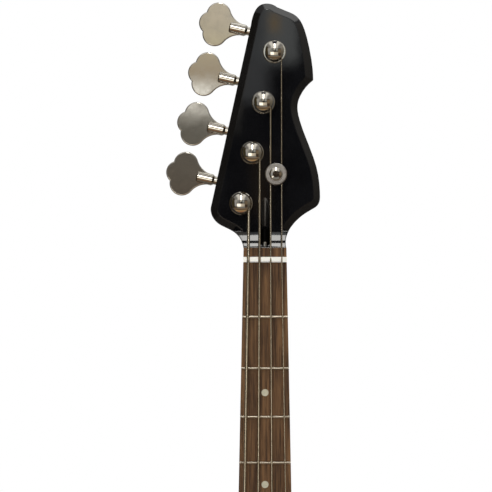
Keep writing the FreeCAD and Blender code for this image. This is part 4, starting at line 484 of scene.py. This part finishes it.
def bone(finish):
    """Polished bone with faint pores."""
    recipe = Recipe("polished bone", subsurface_weight=0.08)
    mask = recipe.marks(220, 0.22, 0.34)
    recipe.tint(mask, tuple(finish.bone), scaled(finish.bone, 0.93))
    pores = noise(recipe.tree, object_point(recipe.tree, (1, 1, 0.3)), 1500, 2.0)
    recipe.feed("Normal", bump(recipe.tree, pores, 0.06, 0.0001))
    return recipe.material


def pearl():
    """Layered pearl inlay with a soft shift of hue."""
    recipe = Recipe("pearl inlay", coat_weight=0.6, coat_roughness=0.05)
    tree = recipe.tree
    recipe.marks(260, 0.18, 0.3)
    swirl = noise(tree, object_point(tree, (1, 1, 1.8)), 420, 5.0, 0.7)
    layer = remap(tree, swirl, 0.38, 0.62, 0.0, 1.0)
    recipe.tint(layer, (0.56, 0.5, 0.35, 1), (0.45, 0.44, 0.33, 1))
    return recipe.material


def pickguard_plies(finish):
    """Three bonded plies: pale face, dark core and pale back, seen at the edge."""
    recipe = Recipe("three-ply pickguard")
    tree = recipe.tree
    low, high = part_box("pickguard")
    source = add_node(tree, "ShaderNodeTexCoord", (-1000, -400))
    parts = add_node(tree, "ShaderNodeSeparateXYZ", (-800, -400))
    tree.links.new(source.outputs["Object"], parts.inputs["Vector"])
    third = (high[1] - low[1]) / 3
    edge = third / 20
    inside = remap(tree, parts.outputs["Y"], low[1] + third, low[1] + third + edge, 0.0, 1.0)
    behind = remap(tree, parts.outputs["Y"], high[1] - third, high[1] - third + edge, 0.0, 1.0)
    core = combine(tree, "SUBTRACT", inside, behind)
    recipe.tint(core, tuple(finish.guard), (0.012, 0.012, 0.012, 1))
    recipe.marks(45, 0.12, 0.24)
    return recipe.material


def moulded_plastic(name, colour, least, most, grain):
    """Moulded plastic with a fine skin."""
    recipe = Recipe(name)
    mask = recipe.marks(120, least, most)
    recipe.tint(mask, colour, scaled(colour, 1.35))
    skin = noise(recipe.tree, object_point(recipe.tree), 2200, 2.0)
    recipe.feed("Normal", bump(recipe.tree, skin, grain, 0.0001))
    return recipe.material


def felt():
    """Pressed wool felt."""
    recipe = Recipe("black felt", sheen_weight=0.4, roughness=0.95)
    tree = recipe.tree
    fuzz = noise(tree, object_point(tree), 3200, 4.0, 0.75)
    recipe.tint(remap(tree, fuzz, 0.3, 0.7, 0.0, 1.0), (0.012, 0.012, 0.012, 1), (0.045, 0.043, 0.04, 1))
    recipe.feed("Normal", bump(tree, fuzz, 0.7, 0.0004))
    return recipe.material


def enamelled_wire():
    """Turns of enamelled copper wire on a coil, with painted shade darkening the grooves between the turns.
    """
    recipe = Recipe("enamelled copper", metallic=0.8)
    tree = recipe.tree
    recipe.marks(200, 0.28, 0.4)
    turns = add_node(tree, "ShaderNodeTexWave", (-600, -300), scale=900.0, distortion=0.4)
    turns.bands_direction = "Y"
    tree.links.new(object_point(tree), turns.inputs["Vector"])
    # Painted shade: the copper is darker where the turns' bump is low, in the grooves between turns, and
    # lighter on their crests
    recipe.tint(turns.outputs["Fac"], (0.3, 0.1, 0.035, 1), (0.5, 0.2, 0.08, 1))
    recipe.feed("Normal", bump(tree, turns.outputs["Fac"], 0.4, 0.0002))
    return recipe.material


# Modelling helpers

def start_clean():
    """Leave edit mode with nothing selected."""
    if bpy.context.object is not None and bpy.context.object.mode != "OBJECT":
        bpy.ops.object.mode_set(mode="OBJECT")
    bpy.ops.object.select_all(action="DESELECT")


def dress(name, material):
    """Name the active piece, put its place into its mesh and give it a material."""
    piece = bpy.context.object
    piece.name = name
    piece.data.name = name
    bpy.ops.object.transform_apply(location=True, rotation=True, scale=True)
    piece.data.materials.clear()
    piece.data.materials.append(material)
    bpy.ops.object.shade_smooth_by_angle(angle=SMOOTH_ANGLE)
    return piece


def settle(name, material, body):
    """Dress the active piece and tie it to a body."""
    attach(dress(name, material), body)


def select_faces(test):
    """In edit mode, select the faces of the active mesh that pass a test."""
    bpy.ops.mesh.select_mode(type="FACE")
    bpy.ops.mesh.select_all(action="DESELECT")
    bpy.ops.object.mode_set(mode="OBJECT")
    for face in bpy.context.object.data.polygons:
        face.select = test(face)
    bpy.ops.object.mode_set(mode="EDIT")


def make_ring(inner, outer, thickness, place, axis):
    """Flat ring with soft edges round an axis."""
    start_clean()
    turn = Vector((0, 0, 1)).rotation_difference(axis).to_euler()
    bpy.ops.mesh.primitive_cylinder_add(
        vertices=64, radius=outer, depth=thickness, location=place, rotation=turn)
    bpy.ops.object.transform_apply(location=True, rotation=True, scale=True)
    bpy.ops.object.mode_set(mode="EDIT")
    select_faces(lambda face: abs(face.normal.dot(axis)) > 0.9)
    bpy.ops.mesh.inset(thickness=outer - inner)
    bpy.ops.mesh.bridge_edge_loops()
    bpy.ops.object.mode_set(mode="OBJECT")
    soften(thickness / 4)


def soften(width):
    """Round the sharp edges of the active piece."""
    piece = bpy.context.object
    bevel = piece.modifiers.new("soft edges", "BEVEL")
    bevel.width = width
    bevel.segments = 3
    bevel.limit_method = "ANGLE"
    bpy.ops.object.modifier_apply(modifier=bevel.name)


def paint_nodes(names, material):
    """Give CAD nodes a material."""
    for name in names:
        node = frame["nodes"][name]
        for slot in node.material_slots:
            slot.material = material


def nodes_in_slots(*slots):
    """Names of the CAD nodes that the record puts in these material slots."""
    return [part["node"] for part in frame["record"]["subparts"] if part["material_slot"] in slots]


# Operators

class BASS_OT_shared_effects(bpy.types.Operator):
    """Make the shader groups that several finishes use"""
    bl_idname = "bass.shared_effects"
    bl_label = "Shared effects"

    def execute(self, context):
        make_handling_marks()
        make_brushed_lines()
        make_timber_grain()
        return {"FINISHED"}


class BASS_OT_finish_wood(bpy.types.Operator):
    """Lacquer the body and neck, and oil the fingerboard"""
    bl_idname = "bass.finish_wood"
    bl_label = "Wood"

    def execute(self, context):
        finish = context.scene.bass_finish
        paint_nodes(nodes_in_slots("black_lacquer"), gloss_lacquer(finish))
        paint_nodes(nodes_in_slots("rosewood"), rosewood(finish))
        return {"FINISHED"}


class BASS_OT_finish_metal(bpy.types.Operator):
    """Plate and polish the hardware, frets and strings"""
    bl_idname = "bass.finish_metal"
    bl_label = "Metal"

    def execute(self, context):
        paint_nodes(nodes_in_slots("nickel"), polished_nickel(context.scene.bass_finish))
        for slot, *values in PLAIN_METALS:
            paint_nodes(nodes_in_slots(slot), plain_metal(*values))
        paint_nodes(nodes_in_slots("string_metal"), wound_string())
        paint_nodes(nodes_in_slots("copper"), enamelled_wire())
        return {"FINISHED"}


class BASS_OT_finish_plastic(bpy.types.Operator):
    """Finish the nut, inlays, pickguard, knobs, covers and wiring"""
    bl_idname = "bass.finish_plastic"
    bl_label = "Plastic and bone"

    def execute(self, context):
        finish = context.scene.bass_finish
        paint_nodes(nodes_in_slots("bone"), bone(finish))
        paint_nodes(nodes_in_slots("pearl"), pearl())
        paint_nodes(nodes_in_slots("white_plastic"), pickguard_plies(finish))
        for slot, *values in MOULDED_PLASTICS:
            paint_nodes(nodes_in_slots(slot), moulded_plastic(*values))
        return {"FINISHED"}


class BASS_OT_strap_washers(bpy.types.Operator):
    """Lay a felt ring on the base of each strap button"""
    bl_idname = "bass.strap_washers"
    bl_label = "Strap button washers"

    def execute(self, context):
        sizes = context.scene.bass_fittings
        material = felt()
        for mount in frame["record"]["mounts"]:
            if not mount["name"].endswith("strap_button"):
                continue
            outward = Vector(mount["axis"])
            place = Vector(mount["pos_m"]) - outward * sizes.washer_below_head
            make_ring(sizes.washer_inner, sizes.washer_outer, sizes.washer_thickness, place, outward)
            settle("felt_washer_" + mount["name"].split("_")[0], material, "bass")
        return {"FINISHED"}


class BASS_OT_knob_pointers(bpy.types.Operator):
    """Fill the pointer groove of each knob"""
    bl_idname = "bass.knob_pointers"
    bl_label = "Knob pointers"

    def execute(self, context):
        width = context.scene.bass_fittings.pointer_width
        material = moulded_plastic("ivory pointer", (0.7, 0.68, 0.6, 1), 0.3, 0.4, 0.05)
        for knob in KNOBS:
            low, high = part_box(knob)
            centre = middle(knob)
            inner = centre.z + POINTER_FROM_AXIS
            outer = high[2] - POINTER_FROM_RIM
            place = (centre.x, low[1] + POINTER_DEPTH / 2 + POINTER_RECESS, (inner + outer) / 2)
            start_clean()
            bpy.ops.mesh.primitive_cube_add(
                size=1, location=place, scale=(width, POINTER_DEPTH, outer - inner))
            bpy.ops.object.transform_apply(location=False, rotation=False, scale=True)
            bpy.ops.object.mode_set(mode="EDIT")
            bpy.ops.mesh.select_all(action="SELECT")
            bpy.ops.mesh.bevel(offset=POINTER_EDGE, segments=2, affect="EDGES")
            bpy.ops.object.mode_set(mode="OBJECT")
            settle("pointer_" + knob, material, knob)
        return {"FINISHED"}


class BASS_OT_gear_screws(bpy.types.Operator):
    """Set a slotted screw in the end of each tuner post, over its gear"""
    bl_idname = "bass.gear_screws"
    bl_label = "Gear screws"

    def execute(self, context):
        radius = context.scene.bass_fittings.gear_screw_radius
        height = GEAR_SCREW_HEIGHT
        material = plain_metal("gear screw steel", (0.5, 0.5, 0.48, 1), 0.2, 0.36, 1.0, 0.06)
        for name in STRING_NAMES:
            node = "tuner_post_" + name
            centre = middle(node)
            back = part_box(node)[1][1]
            start_clean()
            bpy.ops.mesh.primitive_cylinder_add(
                vertices=48, radius=radius, depth=height, location=(centre.x, back + height / 2, centre.z),
                rotation=(math.radians(-90), 0, 0))
            bpy.ops.object.transform_apply(location=True, rotation=True, scale=True)
            bpy.ops.object.mode_set(mode="EDIT")
            select_faces(lambda face: face.normal.y > 0.9)
            bpy.ops.mesh.bevel(offset=height * 0.35, segments=4, affect="EDGES")
            bpy.ops.object.mode_set(mode="OBJECT")
            screw = bpy.context.object
            start_clean()
            bpy.ops.mesh.primitive_cube_add(
                size=1, location=(centre.x, back + height, centre.z), rotation=(0, GEAR_SCREW_SLOT_TURN, 0),
                scale=(radius * 3, height, radius * 0.28))
            cutter = bpy.context.object
            start_clean()
            screw.select_set(True)
            bpy.context.view_layer.objects.active = screw
            slot = screw.modifiers.new("slot", "BOOLEAN")
            slot.operation = "DIFFERENCE"
            slot.object = cutter
            bpy.ops.object.modifier_apply(modifier=slot.name)
            bpy.data.objects.remove(cutter)
            settle("gear_screw_" + name, material, "post_" + name)
        return {"FINISHED"}


class BASS_OT_intonation_springs(bpy.types.Operator):
    """Wind the springs behind the saddles"""
    bl_idname = "bass.intonation_springs"
    bl_label = "Intonation springs"

    def execute(self, context):
        wire = context.scene.bass_fittings.spring_wire / 2
        node = "intonation_springs"
        low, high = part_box(node)
        coil = (high[1] - low[1]) / 2 - wire
        length = high[2] - low[2] - 2 * wire
        material = frame["nodes"][node].material_slots[0].material
        for name in STRING_NAMES:
            saddle = "saddle_" + name
            rear = Vector((middle(saddle).x, middle(node).y, low[2] + wire))
            start_clean()
            bpy.ops.mesh.primitive_circle_add(
                vertices=SPRING_SIDES, radius=wire, location=(coil, 0, 0),
                rotation=(math.radians(90), 0, 0))
            bpy.ops.object.transform_apply(location=True, rotation=True, scale=True)
            spring = bpy.context.object
            winding = spring.modifiers.new("winding", "SCREW")
            winding.axis = "Z"
            winding.screw_offset = length / SPRING_TURNS
            winding.iterations = SPRING_TURNS
            winding.steps = SPRING_STEPS
            winding.render_steps = SPRING_STEPS
            bpy.ops.object.modifier_apply(modifier=winding.name)
            bpy.ops.object.mode_set(mode="EDIT")
            bpy.ops.mesh.select_all(action="SELECT")
            bpy.ops.mesh.fill_holes(sides=0)
            bpy.ops.mesh.select_all(action="SELECT")
            bpy.ops.mesh.normals_make_consistent(inside=False)
            bpy.ops.object.mode_set(mode="OBJECT")
            spring.location = rear
            dress("intonation_spring_" + name, material)
            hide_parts(node)
            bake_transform(spring)
        return {"FINISHED"}


def soft_rectangle(tree, across, up, edges, softness):
    """Mask that is one inside a rectangle and fades out over its edges."""
    left, right, low, high = edges
    mask = None
    for value, first, last in ((across, left, right), (up, low, high)):
        rise = remap(tree, value, first - softness, first + softness, 0.0, 1.0)
        fall = remap(tree, value, last - softness, last + softness, 1.0, 0.0)
        side = combine(tree, "MULTIPLY", rise, fall)
        mask = side if mask is None else combine(tree, "MULTIPLY", mask, side)
    return mask


def emission_card(name, size, place, rotation, strength, stops, patches=()):
    """Flat studio card for reflections, with a glow that changes along its height and soft patches."""
    start_clean()
    bpy.ops.mesh.primitive_plane_add(size=1, location=place, rotation=rotation)
    card = bpy.context.object
    card.name = name
    card.scale = (size[0], size[1], 1)
    bpy.ops.object.transform_apply(location=False, rotation=False, scale=True)
    material = bpy.data.materials.new(name)
    material.use_nodes = True
    tree = material.node_tree
    tree.nodes.clear()
    source = add_node(tree, "ShaderNodeTexCoord", (-900, 0))
    parts = add_node(tree, "ShaderNodeSeparateXYZ", (-700, 0))
    tree.links.new(source.outputs["Object"], parts.inputs["Vector"])
    across = parts.outputs["X"]
    up = parts.outputs["Y"]
    low = stops[0][0]
    span = stops[-1][0] - low
    ramp = add_node(tree, "ShaderNodeValToRGB", (-300, 0))
    band = ramp.color_ramp
    band.elements[0].color = stops[0][1] + (1,)
    band.elements[1].color = stops[-1][1] + (1,)
    for height, colour in stops[1:-1]:
        band.elements.new((height - low) / span).color = colour + (1,)
    tree.links.new(remap(tree, up, low, low + span, 0.0, 1.0), ramp.inputs["Fac"])
    glow_colour = ramp.outputs["Color"]
    for edges, softness, colour in patches:
        mask = soft_rectangle(tree, across, up, edges, softness)
        glow_colour = mix_colours(tree, mask, glow_colour, colour + (1,))
    glow = add_node(tree, "ShaderNodeEmission", (0, 0), strength=strength)
    output = add_node(tree, "ShaderNodeOutputMaterial", (200, 0))
    tree.links.new(glow_colour, glow.inputs["Color"])
    tree.links.new(glow.outputs["Emission"], output.inputs["Surface"])
    card.data.materials.append(material)
    card.visible_camera = False
    card.visible_diffuse = False
    card.visible_shadow = False


def lowered(stops, level):
    """Stops with their heights counted from a card's middle."""
    return [(height - level, colour) for height, colour in stops]


def shifted(patches, across, up):
    """Patches with their edges counted from a card's middle."""
    return [((left - across, right - across, low - up, high - up), softness, colour)
            for (left, right, low, high), softness, colour in patches]


class BASS_OT_studio(bpy.types.Operator):
    """Set up the camera, lights, cards, floor and white room"""
    bl_idname = "bass.studio"
    bl_label = "Studio"

    def execute(self, context):
        studio = context.scene.bass_studio
        aim = Vector((-studio.aim_left, BOARD_TOP_Y, NUT_FRONT_Z + studio.aim_above_nut))
        self.add_camera(context, studio, aim)
        self.add_room(context, studio)
        self.add_floor()
        self.add_cards(aim)
        self.add_light("top softbox", aim + TOP_LIGHT_PLACE, aim, TOP_LIGHT_SIZE, studio.top_light)
        self.add_light("front softbox", aim + FRONT_LIGHT_PLACE, aim, FRONT_LIGHT_SIZE, studio.front_light)
        context.scene.view_settings.view_transform = "Standard"
        return {"FINISHED"}

    def add_camera(self, context, studio, aim):
        """Camera square to the fingerboard."""
        data = bpy.data.cameras.new("camera")
        camera = bpy.data.objects.new("camera", data)
        context.scene.collection.objects.link(camera)
        camera.location = aim - Vector((0, studio.camera_distance, 0))
        camera.rotation_euler = (math.radians(90), 0, 0)
        data.sensor_width = SENSOR_WIDTH
        data.lens = data.sensor_width * studio.camera_distance / studio.frame_width
        data.clip_start = 0.01
        context.scene.camera = camera

    def add_room(self, context, studio):
        """White room to the camera and in reflections, and even light for the rest."""
        world = bpy.data.worlds.new("white room")
        world.use_nodes = True
        tree = world.node_tree
        tree.nodes.clear()
        path = add_node(tree, "ShaderNodeLightPath", (-600, 0))
        seen = combine(tree, "MAXIMUM", path.outputs["Is Camera Ray"], path.outputs["Is Glossy Ray"])
        seen = combine(tree, "MAXIMUM", seen, path.outputs["Is Transmission Ray"])
        strength = remap(tree, seen, 0.0, 1.0, studio.room_light, 1.0)
        background = add_node(tree, "ShaderNodeBackground", (0, 0), color=(1, 1, 1, 1))
        output = add_node(tree, "ShaderNodeOutputWorld", (200, 0))
        tree.links.new(strength, background.inputs["Strength"])
        tree.links.new(background.outputs["Background"], output.inputs["Surface"])
        context.scene.world = world

    def add_floor(self):
        """Pale floor below the end strap button."""
        start_clean()
        bpy.ops.mesh.primitive_plane_add(size=FLOOR_SIZE, location=(0, 0, LOWEST_Z - FLOOR_GAP))
        floor = bpy.context.object
        floor.name = "floor"
        recipe = Recipe("pale floor", roughness=0.9, specular_ior_level=0.0)
        tree = recipe.tree
        speck = remap(tree, noise(tree, object_point(tree), 12, 3.0), 0.3, 0.7, 0.0, 1.0)
        recipe.tint(speck, (0.9, 0.9, 0.9, 1), (0.92, 0.92, 0.92, 1))
        floor.data.materials.append(recipe.material)
        floor.visible_glossy = False

    def add_cards(self, aim):
        """Room that metal and lacquer reflect: windows, walls, ceiling lights and floor."""
        upright = (math.radians(90), 0, 0)
        sideways = (math.radians(90), 0, math.radians(90))
        black = (0.004, 0.004, 0.005)
        umber = (0.03, 0.02, 0.014)
        left = [
            (-1.2, umber), (-0.1, umber), (0.1, (0.05, 0.042, 0.035)), (0.2, (0.078, 0.069, 0.059)),
            (0.33, (0.07, 0.068, 0.061)), (0.4, (0.165, 0.15, 0.125)), (0.48, (0.23, 0.195, 0.148)),
            (0.55, (0.32, 0.295, 0.222)), (0.6, (0.335, 0.305, 0.25)), (1.0, (0.38, 0.36, 0.32)),
        ]
        left_patches = [
            ((-0.08, 0.05, -0.1, 0.3), 0.012, black),
            ((-0.46, -0.235, 0.0, 1.0), 0.01, (0.03, 0.028, 0.025)),
            ((-0.19, -0.07, 0.36, 0.442), 0.01, (0.55, 0.55, 0.53)),
            ((-1.9, -1.2, -0.85, 0.95), 0.04, (0.2, 0.2, 0.2)),
            ((-1.1, -0.45, 0.0, 0.95), 0.04, (0.14, 0.14, 0.137)),
            ((-1.1, -0.12, -0.85, -0.05), 0.03, (1.0, 0.95, 0.84)),
            ((-0.12, 0.05, -0.85, -0.08), 0.03, (0.45, 0.4, 0.33)),
            ((-1.2, 0.1, -1.5, -0.9), 0.04, (0.12, 0.118, 0.113)),
        ]
        right = [(-1.2, umber), (-0.1, umber), (0.0, black), (1.0, black)]
        right_patches = [
            ((-0.1, 0.059, 0.385, 0.5), 0.02, (0.25, 0.255, 0.26)),
            ((-0.1, 0.055, 0.493, 1.0), 0.012, (0.26, 0.275, 0.28)),
            ((0.05, 0.139, 0.493, 1.0), 0.012, (0.49, 0.51, 0.5)),
            ((0.062, 0.09, 0.572, 0.625), 0.01, (0.76, 0.57, 0.34)),
            ((0.02, 0.06, 0.08, 0.26), 0.02, (0.075, 0.052, 0.03)),
            ((0.35, 0.9, 0.25, 0.95), 0.04, (0.2, 0.2, 0.195)),
            ((-0.1, 0.35, -0.85, -0.08), 0.03, (0.45, 0.4, 0.33)),
            ((-0.1, 1.2, -1.5, -0.9), 0.04, (0.12, 0.118, 0.113)),
            ((0.35, 1.0, -0.85, 0.0), 0.04, (0.3, 0.27, 0.22)),
            ((1.0, 2.2, -0.3, 0.8), 0.1, (0.1, 0.075, 0.05)),
        ]
        front = aim + Vector((0, FRONT_CARD_Y, 0))
        for name, width, across, stops, patches in (
                ("front_card_left", 2.0, -1.01, left, left_patches),
                ("front_card_right", 2.02, 1.0, right, right_patches)):
            place = front + Vector((across, 0, FRONT_CARD_DROP))
            emission_card(name, (width, FRONT_CARD_HEIGHT), place, upright, FRONT_CARD_STRENGTH,
                          lowered(stops, FRONT_CARD_DROP), shifted(patches, across, FRONT_CARD_DROP))
        lamp = (1.0, 0.98, 0.94)
        haze = (0.1, 0.098, 0.094)
        dim = (0.03, 0.029, 0.028)
        emission_card("front_lamp", (4.0, 0.62), front + Vector((0, 0, 1.31)), upright, LAMP_STRENGTH,
                      [(-0.31, dim), (0.31, dim)],
                      [((-1.0, 1.0, -0.34, 0.34), 0.2, haze), ((-0.045, 0.16, -0.34, 0.34), 0.015, lamp)])
        strips = [
            ((-1.0, 1.0, -1.95, 0.7), 0.2, haze),
            ((-0.045, 0.16, -1.95, -0.55), 0.015, lamp),
            ((-0.3, 0.4, -0.55, 0.12), 0.015, black),
            ((-0.045, 0.16, 0.12, 0.68), 0.015, lamp),
            ((-0.3, 0.4, 0.68, 0.93), 0.015, black),
            ((-0.3, 1.5, 0.97, 1.95), 0.08, (0.15, 0.15, 0.146)),
        ]
        emission_card("ceiling", (4.0, 3.9), aim + Vector((0, -1.0, 1.6)), (0, 0, 0), LAMP_STRENGTH,
                      [(-1.95, dim), (1.95, dim)], strips)
        dark = (0.02, 0.02, 0.02)
        emission_card("left_wall", WALL_SIZE, aim + Vector((-WALL_SIDE, -0.9, 0.15)), sideways,
                      ROOM_STRENGTH, [(-WALL_HALF, (0.05, 0.04, 0.022)), (WALL_HALF, (0.05, 0.04, 0.022))])
        emission_card("right_wall", WALL_SIZE, aim + Vector((WALL_SIDE, -0.9, 0.15)), sideways,
                      ROOM_STRENGTH, [(-WALL_HALF, (0.1, 0.09, 0.07)), (0.0, (0.16, 0.14, 0.11)),
                                      (WALL_HALF, (0.33, 0.31, 0.28))])
        emission_card("low_card", (4.0, 3.6), aim + Vector((0, -0.9, -1.3)), (0, 0, 0), ROOM_STRENGTH,
                      [(-1.8, (0.3, 0.22, 0.14)), (-0.9, (0.1, 0.07, 0.05)), (-0.6, (0.5, 0.33, 0.16)),
                       (-0.3, (0.3, 0.1, 0.05)), (0.0, dark), (0.3, (0.2, 0.17, 0.13)), (1.8, dark)])
        emission_card("back_card", (4.0, WALL_SIZE[1]), aim + Vector((0, 0.95, 0.15)), upright,
                      ROOM_STRENGTH, [(-WALL_HALF, (0.3, 0.29, 0.27)), (WALL_HALF, (0.5, 0.48, 0.45))])

    def add_light(self, name, place, aim, size, power):
        """Rectangular softbox that faces a point."""
        data = bpy.data.lights.new(name, "AREA")
        data.shape = "RECTANGLE"
        data.size = size[0]
        data.size_y = size[1]
        data.energy = power
        light = bpy.data.objects.new(name, data)
        bpy.context.scene.collection.objects.link(light)
        light.location = place
        light.rotation_euler = (aim - place).to_track_quat("-Z", "Y").to_euler()
        light.visible_camera = False
        light.visible_glossy = False


STEPS = (BASS_OT_shared_effects, BASS_OT_finish_wood, BASS_OT_finish_metal, BASS_OT_finish_plastic,
         BASS_OT_strap_washers, BASS_OT_knob_pointers, BASS_OT_gear_screws, BASS_OT_intonation_springs,
         BASS_OT_studio)


class BASS_PT_sidebar(bpy.types.Panel):
    """Steps and settings of the bass"""
    bl_idname = "BASS_PT_sidebar"
    bl_label = "Electric bass"
    bl_space_type = "VIEW_3D"
    bl_region_type = "UI"
    bl_category = "Bass"

    def draw(self, context):
        layout = self.layout
        for settings in (context.scene.bass_finish, context.scene.bass_fittings, context.scene.bass_studio):
            for name in settings.bl_rna.properties.keys():
                if name not in ("name", "rna_type"):
                    layout.prop(settings, name)
        for step in STEPS:
            layout.operator(step.bl_idname)


CLASSES = (BassFinish, BassFittings, BassStudio) + STEPS + (BASS_PT_sidebar,)


def register():
    """Add the classes and settings."""
    for item in CLASSES:
        bpy.utils.register_class(item)
    bpy.types.Scene.bass_finish = bpy.props.PointerProperty(type=BassFinish)
    bpy.types.Scene.bass_fittings = bpy.props.PointerProperty(type=BassFittings)
    bpy.types.Scene.bass_studio = bpy.props.PointerProperty(type=BassStudio)


def unregister():
    """Remove the settings and classes."""
    del bpy.types.Scene.bass_studio
    del bpy.types.Scene.bass_fittings
    del bpy.types.Scene.bass_finish
    for item in reversed(CLASSES):
        bpy.utils.unregister_class(item)


def main():
    """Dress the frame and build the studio."""
    register()
    bpy.ops.bass.shared_effects()
    bpy.ops.bass.finish_wood()
    bpy.ops.bass.finish_metal()
    bpy.ops.bass.finish_plastic()
    bpy.ops.bass.strap_washers()
    bpy.ops.bass.knob_pointers()
    bpy.ops.bass.gear_screws()
    bpy.ops.bass.intonation_springs()
    bpy.ops.bass.studio()


if __name__ == "__main__":
    main()
